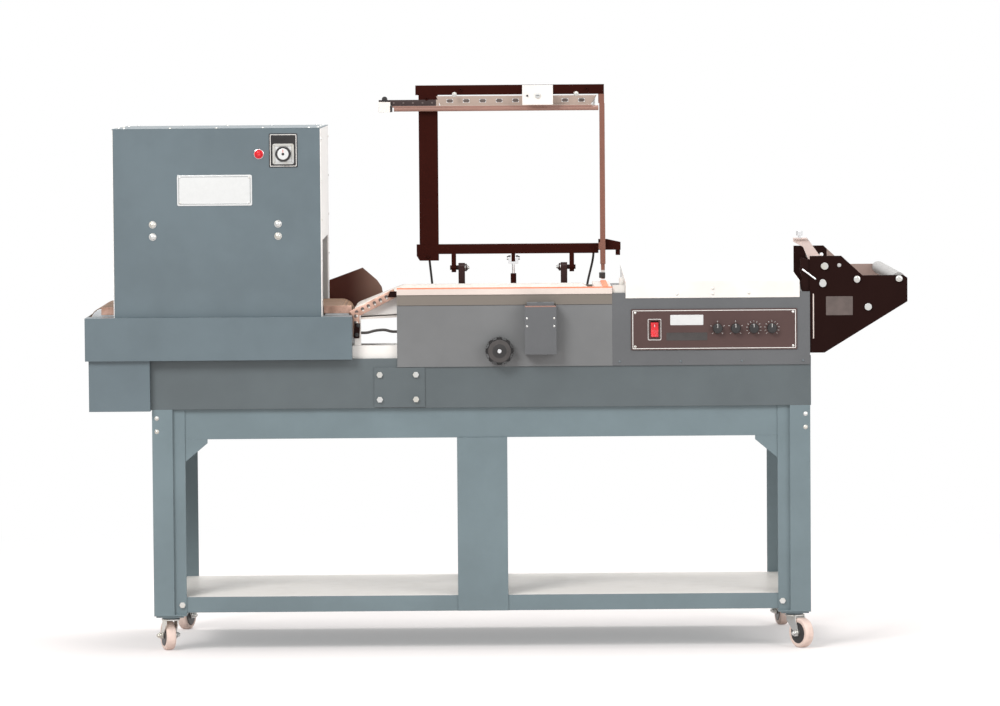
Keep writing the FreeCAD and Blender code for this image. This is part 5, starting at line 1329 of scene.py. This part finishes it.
    def fix_rear_inlet(self) -> None:
        """Rear cover of the control box with a row of slots and a closed cable gland."""
        box = Extent.of("control_box")
        centre = np.array([box.middle[0], box.high[1], box.middle[2]])
        cover = slab(rounded(360, 130, 5.0), 1.4, centre, BACK_WAY, UP_WAY, 0.4)
        slots = [slab(rounded(52, 5, 2.4), 0.4, centre + [x, 1.3, z], BACK_WAY, UP_WAY, 0.1)
                 for x in (40, 110) for z in spaced(-36, 36, 7)]
        gland = Fastener(Head.NUT, 9.0).at(centre + [-120, 1.4, 0], BACK_WAY)
        self.piece("control_rear_cover", "root", "frame_paint",
                   [([cover], ("dark_slate", SLATE_DARK)), (slots, ("black_plastic", BLACK_PLASTIC)),
                    (gland, ("black_plastic", BLACK_PLASTIC))])
# ---------------------------------------------------------------- the stand


CORNERS = ("front_left", "front_right", "rear_left", "rear_right")
STEEL: Finish = ("zinc", ZINC)
DARK: Finish = ("black_plastic", BLACK_PLASTIC)


@dataclass
class CasterFittings(SubAssembly):
    """Hub discs, axle nuts and thread guards of the four casters; sizes in millimetres."""

    hub_radius: float = 25.0
    half_wheel: float = 12.5
    near: float = 14.0

    def build(self) -> None:
        """Builds the fittings of every caster."""
        for corner in CORNERS:
            self.dress_corner(corner)

    def reach(self, fork: str, pivot: Pivot) -> float:
        """Returns how far the fork's cheeks stand out from the wheel's middle, along the axle."""
        mesh = frame["nodes"][fork].data
        points = np.empty(len(mesh.vertices) * 3)
        mesh.vertices.foreach_get("co", points)
        away = points.reshape(-1, 3) / METRE - pivot.at
        along = away @ pivot.along
        off = np.linalg.norm(away - along[:, None] * pivot.along, axis=1)
        return float(np.abs(along[off < self.near]).max())

    def dress_corner(self, corner: str) -> None:
        """Builds the discs on the wheel, and the nut and bolt on the fork."""
        pivot = Pivot.of(f"caster_roll_{corner}")
        discs, rims, nuts = [], [], []
        reach = self.reach(f"caster_fork_{corner}", pivot)
        for way in (-1.0, 1.0):
            face = pivot.at + pivot.along * way * (self.half_wheel - 0.6)
            axis = pivot.along * way
            discs.append(turned([(self.hub_radius, 0.0), (self.hub_radius, 0.9), (20.0, 1.4), (11.0, 0.9),
                                 (10.0, 1.8), (8.0, 1.8)], face, axis, 40))
            rims.append(turned([(self.hub_radius + 1.6, 0.0), (self.hub_radius + 1.6, 0.7),
                                (self.hub_radius + 0.6, 0.9)], face, axis, 40))
            nuts += Fastener(Head.NUT, 6.5).at(pivot.at + axis * (reach - 0.3), axis)
        self.piece(f"caster_hub_{corner}", f"caster_wheel_{corner}", "caster_tread",
                   [(discs, DARK), (rims, ("tread_edge", BLACK_RUBBER))])
        self.piece(f"caster_nuts_{corner}", f"caster_fork_{corner}", "zinc_steel", [(nuts, STEEL)])


@dataclass
class StandFittings(SubAssembly):
    """Bolt heads on the legs and the beam; sizes in millimetres."""

    def build(self) -> None:
        """Builds the small parts of the stand."""
        self.bolt_legs()
        self.bolt_beam()

    def bolt_legs(self) -> None:
        """Carriage bolts where the upper rails meet the legs, on both long sides."""
        legs = Extent.of("stand_legs")
        places = [(x, legs.low[1], legs.high[2] + z) for x in (legs.low[0] + 12, legs.high[0] - 12)
                  for z in (-22.0, -56.0)]
        self.fasteners("leg_bolts", "root", Fastener(Head.DOME, 4.5), places, FRONT_WAY, STEEL)
        rear = [(x, legs.high[1], z) for x, _, z in places]
        self.fasteners("leg_bolts_rear", "root", Fastener(Head.DOME, 4.5), rear, BACK_WAY, STEEL)

    def bolt_beam(self) -> None:
        """Bolts under the tunnel's base and the control box, seen from behind."""
        beam = Extent.of("main_beam")
        places = [(x, beam.high[1], beam.high[2] - 24) for x in spaced(beam.low[0] + 60, beam.high[0] - 60, 8)]
        self.fasteners("beam_rear_bolts", "root", Fastener(Head.HEX, 6.0), places, BACK_WAY, STEEL)
# ---------------------------------------------------------------- the sealer


@dataclass
class InclineFittings(SubAssembly):
    """Chain strips, wedge and bracket where the belt slopes down to the tunnel; sizes in millimetres."""

    strip_tall: float = 22.0
    link: float = 17.0

    def build(self) -> None:
        """Builds the strips along the slope, and down the cable post."""
        belt = Extent.of("sealer_belt")
        post = Extent.of("bridge_channel")
        front = belt.low[1] - 7.0
        top = np.array([post.high[0] - 4.0, front, belt.high[2] - 8.0])
        foot = np.array([belt.low[0] - 2.0, front, belt.low[2] + 12.0])
        self.lay_chain("incline_chain", top, foot, self.strip_tall)
        down = np.array([post.low[0] + 10.0, post.low[1] - 2.5, 864.0])
        self.lay_chain("post_chain", down, down + [0, 0, -62.0], 17.0)
        wedge = np.array([[-20, -9], [18, -9], [18, 6], [-14, 6]], float)
        self.piece("incline_wedge", "root", "black_paint",
                   [([slab(wedge, 5.0, top + [0, -3.5, -2], FRONT_WAY, UP_WAY, 0.5)], ("black_paint", BLACK_PAINT))])
        tail = Extent.of("tunnel_belt")
        casing = Extent.of("tunnel_casing")
        ends = ((tail.low[0] + 30, casing.low[0] - 1.5), (casing.high[0] + 1.5, tail.high[0] + 1))
        strips = [block((left, tail.low[1] - 9, tail.high[2] - 19), (right, tail.low[1] - 5, tail.high[2] + 0.3), 0.5)
                  for left, right in ends]
        self.piece("tunnel_belt_guards", "root", "zinc_steel", [(strips, ("chain", CHAIN))])
        lean = np.array([[-9, -19], [6, -19], [9, 19], [-6, 19]], float)
        at = down + [2.0, -4.0, -46.0]
        self.piece("incline_bracket", "root", "black_paint",
                   [([slab(lean, 2.5, at, FRONT_WAY, UP_WAY, 0.4)], ("black_paint", BLACK_PAINT))])
        self.fasteners("incline_bolts", "root", Fastener(Head.HEX, 4.0),
                       [at + [4.0, -2.5, 14.0], at + [0.0, -2.5, -10.0]], FRONT_WAY, DARK)

    def lay_chain(self, name: str, start: np.ndarray, end: np.ndarray, tall: float) -> None:
        """Copper-coloured strip with a row of holes drawn as dark discs of painted shade, each with a bright dot beside
        it that is a painted glint.

        Args:
            name: the piece's name.
            start: one end of its middle line.
            end: the other end.
            tall: its height across the line.
        """
        run = end - start
        length = float(np.linalg.norm(run))
        along = run / length
        rise = np.cross(along, np.array(FRONT_WAY))
        path = np.array([start, end])
        plate = swept(rounded(tall, 3.0, 1.0, 3), path, FRONT_WAY)
        middles = [start + along * (index + 0.5) * self.link + [0, -1.3, 0] for index in range(int(length / self.link))]
        # dark discs that stand for the painted shade in each perforation
        holes = [turned([(4.6, 0.0), (4.6, 0.5), (3.6, 0.7)], middle + rise * 1.5, FRONT_WAY, 20) for middle in middles]
        # a bright dot off the middle of each hole: a painted glint
        glint_pins = [turned([(2.4, 0.3), (2.4, 1.3), (1.6, 1.7)], middle - rise * 3.0, FRONT_WAY, 16) for middle in middles]
        self.piece(name, "root", "seal_copper",
                   [([plate], ("chain", CHAIN)), (holes, ("label_and_hole_shade_brown", LABEL_AND_HOLE_SHADE_BROWN)), (glint_pins, STEEL)])


@dataclass
class SealerFittings(SubAssembly):
    """Hand wheel's hub and rim, magnet screws, tray screws and body screws; sizes in millimetres."""

    def build(self) -> None:
        """Builds the small parts of the sealer's table."""
        self.dress_handwheel()
        self.dress_magnet()
        self.fix_tray()
        self.fix_body()

    def dress_handwheel(self) -> None:
        """Milled rim and glossy domed hub, which turn with the wheel."""
        wheel = Extent.of("handwheel")
        middle = wheel.middle
        nose = np.array([middle[0], wheel.low[1], middle[2]])
        radius = (wheel.high[0] - wheel.low[0]) / 2
        ribs = [block((middle[0] - 1.4, nose[1] + 3.0, middle[2] + radius - 2.0),
                      (middle[0] + 1.4, nose[1] + 13.0, middle[2] + radius - 0.1), 0.5)
                .turned_about(middle, BACK_WAY, turn) for turn in spaced(0, 350, 36)]
        ring = turned([(radius * 0.80, 0.0), (radius * 0.80, 0.5), (radius * 0.72, 0.6)], nose, FRONT_WAY, 48)
        hub = turned([(radius * 0.5, 0.0), (radius * 0.5, 0.6), (radius * 0.36, 1.6), (radius * 0.1, 2.0)],
                     nose, FRONT_WAY, 48)
        cap = turned([(radius * 0.14, 1.6), (radius * 0.14, 2.8), (radius * 0.1, 3.2)], nose, FRONT_WAY, 24)
        self.piece("handwheel_trim", "handwheel", "black_plastic",
                   [([*ribs, hub], DARK), ([ring], ("label_dark", LABEL_DARK)), ([cap], ("chrome", CHROME))])

    def dress_magnet(self) -> None:
        """Two small screws on each side of the magnet's housing, and its bright upper edge."""
        box = Extent.of("magnet_housing")
        places = [(x, box.low[1], z) for x in (box.low[0] + 6, box.high[0] - 6) for z in (829.0, 849.0)]
        self.fasteners("magnet_screws", "root", Fastener(Head.PAN, 2.8), places, FRONT_WAY, STEEL)
        edge = block((box.low[0] + 1, box.low[1] - 0.2, 877.0), (box.high[0] - 1, box.low[1] + 2.0, 880.6), 0.6)
        self.piece("magnet_edge", "root", "zinc_steel", [([edge], ("bar_metal", BAR_METAL))])

    def fix_tray(self) -> None:
        """Screws on the tray's front lip."""
        tray = Extent.of("product_tray")
        places = [(459.0, tray.low[1], 905.5), (550.0, tray.low[1], 919.5), (550.0, tray.low[1], 906.0),
                  (641.0, tray.low[1], 907.0)]
        self.fasteners("tray_screws", "root", Fastener(Head.PAN, 3.4), places, FRONT_WAY, STEEL)

    def fix_body(self) -> None:
        """Seam line of the body's upper band, and screws behind."""
        body = Extent.of("sealer_body")
        seam = block((body.low[0] + 0.5, body.low[1] - 0.35, 880.4), (body.high[0] - 0.5, body.low[1] + 0.4, 882.0), 0.2)
        self.piece("body_seam", "root", "black_plastic", [([seam], ("label_dark", LABEL_DARK))])
        places = [(x, body.high[1], z) for x in spaced(body.low[0] + 30, body.high[0] - 30, 6)
                  for z in (body.low[2] + 16, body.high[2] - 20)]
        self.fasteners("body_rear_screws", "root", Fastener(Head.PAN, 3.4), places, BACK_WAY, STEEL)


@dataclass
class ArmFittings(SubAssembly):
    """Bolts, nuts, springs, clips and the two leads of the raised arm; sizes in millimetres."""

    lead_radius: float = 3.0

    def build(self) -> None:
        """Builds what the arm carries, and the leads that join it to the deck."""
        self.arm = Extent.of("arm_frame")
        self.bar = Extent.of("front_seal_bar")
        self.fix_bolts()
        self.fix_springs()
        self.fix_clips()
        for name, top, low in (("arm_lead_left", -176.0, -168.0), ("arm_lead_right", 256.0, 238.0)):
            self.lead(name, top, low)

    def fix_bolts(self) -> None:
        """Bolts under the front bar, on the catch plate, on the corner block and by the hinge blocks."""
        front = self.arm.low[1]
        catch = Extent.of("catch_plate")
        face = np.array([catch.middle[0], catch.low[1], catch.middle[2] - 2])
        flat = turned([(6.5, -0.5), (6.5, 0.06), (6.3, 0.08)], face, FRONT_WAY, 32)
        # the screw's slot and the hole beside it are black pieces of painted shade, standing for the dark inside the
        # recesses
        slot = slab(rounded(9.0, 1.4, 0.5, 3), 0.1, face + [0, 0.02, 0], FRONT_WAY, UP_WAY, 0.02)
        hole = turned([(2.6, -0.5), (2.6, 0.06), (2.4, 0.08)], face + [-27, 0, 0], FRONT_WAY, 20)
        self.piece("catch_screw", "arm", "zinc_steel", [([flat], STEEL), ([slot, hole], ("label_and_recess_shade_black", LABEL_AND_RECESS_SHADE_BLACK))])
        places = [(-179.0, front, 990.0), (-179.0, front, 1402.0), (-90.0, front, 1425.0), (240.0, front, 1425.0)]
        self.fasteners("arm_bolts", "arm", Fastener(Head.SOCKET, 4.5), places, FRONT_WAY, ("arm_black", ARM_BLACK))
        self.fasteners("hinge_nut_left", "root", Fastener(Head.NUT, 8.0), [(-82.0, 87.0, 960.0)], RIGHT_WAY, STEEL)
        self.fasteners("hinge_nut_right", "root", Fastener(Head.NUT, 8.0), [(169.0, 87.0, 960.0)], LEFT_WAY, STEEL)

    def fix_springs(self) -> None:
        """Tension springs at the front bar's right end, and hanger bolts over the holder plate."""
        z = self.bar.high[2]
        coils = [spring(3.4, 0.8, 7, (x, 80.0, z - 36.0), (x, 80.0, z - 10.0)) for x in (258.0, 277.0)]
        self.piece("arm_springs", "arm", "zinc_steel", [(coils, STEEL)])
        places = [(x, self.bar.low[1], z - 5.0) for x in (-106.0, 212.0)]
        self.fasteners("hanger_bolts", "arm", Fastener(Head.HEX, 5.0), places, FRONT_WAY, STEEL)

    def fix_clips(self) -> None:
        """Ring knob and insulator clip at the left end of the seal rod, and the clip at the side rod's foot."""
        left = self.bar.low[0]
        knob = turned([(7.0, 0.0), (7.4, 2.0), (7.0, 4.0), (5.6, 5.0), (2.2, 5.0), (2.0, 6.5)],
                      (left + 16.0, self.bar.low[1] + 8, 1402.0), FRONT_WAY, 28)
        clip = block((left + 30.0, self.bar.low[1] - 1.0, 1368.5), (left + 36.0, self.bar.low[1] + 18.0, 1385.0), 0.8)
        self.piece("rod_clips", "arm", "black_plastic", [([knob, clip], DARK)])
        side = Extent.of("side_seal_bar")
        foot = block((side.low[0] + 1, side.low[1] - 0.8, 931.0), (side.high[0] - 1, side.low[1] + 14.0, 946.0), 1.2)
        self.piece("side_rod_clip", "arm", "zinc_steel", [([foot], ("black_plastic", BLACK_PLASTIC))])
        # dark brown discs and ovals: painted shade seen through the holes and slots of the perforated holder
        holes = [turned([(2.4, -0.2), (2.4, 0.3), (2.0, 0.35)], (x, self.bar.low[1] + 0.4, 1392.0), FRONT_WAY, 18)
                 for x in spaced(left + 40.0, left + 140.0, 5)]
        slots = np.linspace(-118.0, 226.0, 9)
        node = frame["nodes"]["front_seal_bar"].data
        points = np.empty(len(node.vertices) * 3)
        node.vertices.foreach_get("co", points)
        points = points.reshape(-1, 3) / METRE
        rim = points[(points[:, 2] > 1391.0) & (points[:, 2] < 1402.0) & (np.abs(points[:, 0] + 75.0) < 12.0)]
        oval = rounded(16.4, 8.4, 4.1, 6)
        holes += [slab(oval, 1.0, (x, rim[:, 1].min() + 1.2, 1396.5), FRONT_WAY, UP_WAY, 0.1) for x in slots]
        self.piece("clamp_arm_holes", "arm", "black_plastic", [(holes, ("label_and_hole_shade_brown", LABEL_AND_HOLE_SHADE_BROWN))])

    def lead(self, name: str, top: float, low: float) -> None:
        """Makes one lead, a round tube on a cubic B-spline from the hinge bar down to the deck.

        The curve is sum over i of N_i(t) P_i, and it runs between the body that
        stands still and the arm, attached to neither. It replaces the held CAD leads.

        Args:
            name: the lead's name.
            top: x of its upper end.
            low: x of its lower end.
        """
        middle = (top + low) / 2
        route = np.array([(top, 99.7, 1002.0), (top, 125.7, 1002.0), (top, 148.7, 981.0), (middle, 153.7, 944.0),
                          (low, 145.7, 910.0), (low, 145.7, 882.0)])
        ends = np.concatenate([route[:1], route[:1], route, route[-1:], route[-1:]])
        t = np.linspace(0.0, 1.0, 12, endpoint=False)[:, None]
        weights = np.stack([(1 - t) ** 3, 3 * t ** 3 - 6 * t ** 2 + 4, -3 * t ** 3 + 3 * t ** 2 + 3 * t + 1, t ** 3]) / 6
        spans = np.stack([ends[i:len(ends) - 3 + i] for i in range(4)])
        path = np.einsum("wtk,wsc->stc", weights, spans).reshape(-1, 3)
        path = np.concatenate([path[:-1][np.linalg.norm(np.diff(path, axis=0), axis=1) > 0.05], route[-1:]])
        tube = swept(circle(self.lead_radius, 12), path, RIGHT_WAY)
        item = self.piece(name, None, "cable", [([tube], ("cable", CABLE))])
        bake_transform(item)
        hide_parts("arm_wires")


@dataclass
class CradleFittings(SubAssembly):
    """Bolts, bare plate, hole, guide bracket and a painted highlight strip of the film cradle; sizes in millimetres."""

    def build(self) -> None:
        """Builds the cradle's small parts on both plates."""
        box = Extent.of("cradle_plates")
        front, back = box.low[1], box.high[1]
        places = [(832.0, 974.0), (829.0, 933.0), (916.0, 939.0), (1024.0, 941.0), (944.0, 870.0)]
        self.fasteners("cradle_bolts", "root", Fastener(Head.HEX, 6.2), [(x, front, z) for x, z in places],
                       FRONT_WAY, STEEL)
        self.fasteners("cradle_bolts_rear", "root", Fastener(Head.HEX, 5.5), [(x, back, z) for x, z in places],
                       BACK_WAY, STEEL)
        plate = slab(rounded(68.0, 48.0, 2.0), 0.8, (871.0, front, 873.0), FRONT_WAY, UP_WAY, 0.2)
        # pale pink strip down the plate's left edge: a painted highlight along the flange
        edge = block((803.5, front - 0.7, 790.0), (806.5, front + 0.2, 904.0), 0.3)
        rod = swept(circle(2.4, 14), np.array([(777.0, front - 2.6, 967.0), (811.0, front - 2.6, 941.0)]), FRONT_WAY)
        self.piece("cradle_bare_plate_and_highlight", "root", "zinc_steel",
                   [([plate], ("label_and_hole_shade_brown", LABEL_AND_HOLE_SHADE_BROWN)), ([edge], ("pink_trim_and_highlight", PINK_TRIM_AND_HIGHLIGHT)), ([rod], ("chrome", CHROME))])
        jagged = np.array([(771, 996), (774, 975), (771, 970), (773, 957), (778, 941), (772, 930), (773, 916), (779, 908),
                           (803, 911), (803, 990)], float)
        self.piece("cradle_inner_plate", "root", "black_paint",
                   [([slab(jagged, 2.0, (0.0, front + 8.0, 0.0), FRONT_WAY, UP_WAY, 0.2)], ("black_paint", BLACK_PAINT))])
        for side in ("left", "right"):
            roller = Extent.of(f"film_roller_{side}")
            caps = [turned([(8.0, 0.0), (8.0, 1.2), (5.0, 2.0), (4.8, 3.0)], (roller.middle[0], y, roller.middle[2]), way, 28)
                    for y, way in ((roller.low[1] + 0.3, FRONT_WAY), (roller.high[1] - 0.3, BACK_WAY))]
            self.piece(f"film_roller_caps_{side}", f"film_roller_{side}", "zinc_steel", [(caps, STEEL)])


# ---------------------------------------------------------------- the whole


class NodeDresser:
    """Gives every CAD node its finish."""

    FINISHES: dict[str, tuple[str, object]] = {
        "stand_legs": ("leg_paint", LEG_BLUE),
        "stand_rails": ("leg_paint", LEG_BLUE),
        "lower_shelf": ("shelf_paint", SHELF_GREY),
        "main_beam": ("beam_paint", BEAM_BLUE),
        "frame_bolts": ("zinc", ZINC),
        "tunnel_base": ("slate_paint", SLATE),
        "tunnel_casing": ("slate_paint", SLATE),
        "tunnel_liner": ("end_white", END_WHITE),
        "tunnel_belt": ("tunnel_mesh", TUNNEL_MESH),
        "tunnel_drive_roller": ("roller_alu", ROLLER_ALU),
        "tunnel_idler_roller": ("roller_alu", ROLLER_ALU),
        "conveyor_frames": ("bridge_white", BRIDGE_WHITE),
        "motors": ("motor_enamel", MOTOR),
        "heater_rods": ("heater_steel", HEATER),
        "entry_guide": ("guard_brown", GUARD),
        "bridge_channel": ("white_paint", WHITE),
        "sealer_body": ("body_grey", BODY_GREY),
        "pad_channel": ("pink_trim_and_highlight", PINK_TRIM_AND_HIGHLIGHT),
        "seal_pads": ("pad_red", PAD_RED),
        "sealer_belt": ("sealer_mesh", SEALER_MESH),
        "control_box": ("box_grey", BOX_GREY),
        "control_panel": ("panel_black", PANEL_BLACK),
        "power_rocker": ("red_lens", RED_LENS),
        "pilot_lamp": ("red_lens", RED_LENS),
        "thermostat_dial": ("black_plastic", BLACK_PLASTIC),
        "magnet_housing": ("magnet_grey", BOX_GREY),
        "handwheel": ("black_plastic", BLACK_PLASTIC),
        "arm_frame": ("arm_black", ARM_BLACK),
        "front_seal_bar": ("bar_metal", BAR_METAL),
        "side_seal_bar": ("side_bar", SIDE_BAR),
        "catch_plate": ("white_paint", WHITE),
        "strut_cylinder": ("arm_black", ARM_BLACK),
        "strut_rod": ("chrome", CHROME),
        "table_brackets": ("peg_bracket", PEG_BRACKET),
        "product_tray": ("white_paint", WHITE),
        "cradle_plates": ("cradle_black", CRADLE_BLACK),
        "tie_rods": ("zinc", ZINC),
        "film_roller_left": ("roller_grey", ROLLER_GREY),
        "film_roller_right": ("roller_grey", ROLLER_GREY),
        "film_guide": ("guide_pink", GUIDE_PINK),
        "guide_knob": ("chrome", CHROME),
        "link_cable": ("cable", CABLE),
        "arm_wires": ("cable", CABLE),
    }
    FAMILIES: dict[str, tuple[str, object]] = {
        "control_knob": ("black_plastic", BLACK_PLASTIC),
        "entry_curtain": ("curtain", CURTAIN),
        "exit_curtain": ("curtain", CURTAIN),
        "blower": ("galvanised", GALVANISED),
        "sealer_": ("roller_alu", ROLLER_ALU),
        "caster_fork": ("zinc", ZINC),
        "caster_wheel": ("tread", TREAD),
        "caster": ("zinc", ZINC),
    }

    def __init__(self, book: FinishBook) -> None:
        """Keeps the finishes that the nodes share with the pieces."""
        self.book = book

    def finish_of(self, node: str) -> tuple[str, object]:
        """Returns a node's finish, by its own name or its family's."""
        if node in self.FINISHES:
            return self.FINISHES[node]
        for start, finish in self.FAMILIES.items():
            if node.startswith(start):
                return finish
        return ("zinc", ZINC)

    def build(self) -> None:
        """Dresses every node and logs how many there are."""
        for node in frame["nodes"]:
            name, finish = self.finish_of(node)
            self.book.dress(node, name, finish)
        LOG.info("nodes dressed: %d", len(frame["nodes"]))


def main() -> None:
    """Builds the studio, the finishes and every sub-assembly in turn."""
    logging.basicConfig(level=logging.INFO, format="%(name)s: %(message)s")
    book = FinishBook()
    Studio().build()
    NodeDresser(book).build()
    for group in (TunnelFittings, PanelFittings, CasterFittings, InclineFittings, SealerFittings,
                  ArmFittings, CradleFittings, StandFittings):
        group(book).build()


if __name__ == "__main__":
    main()
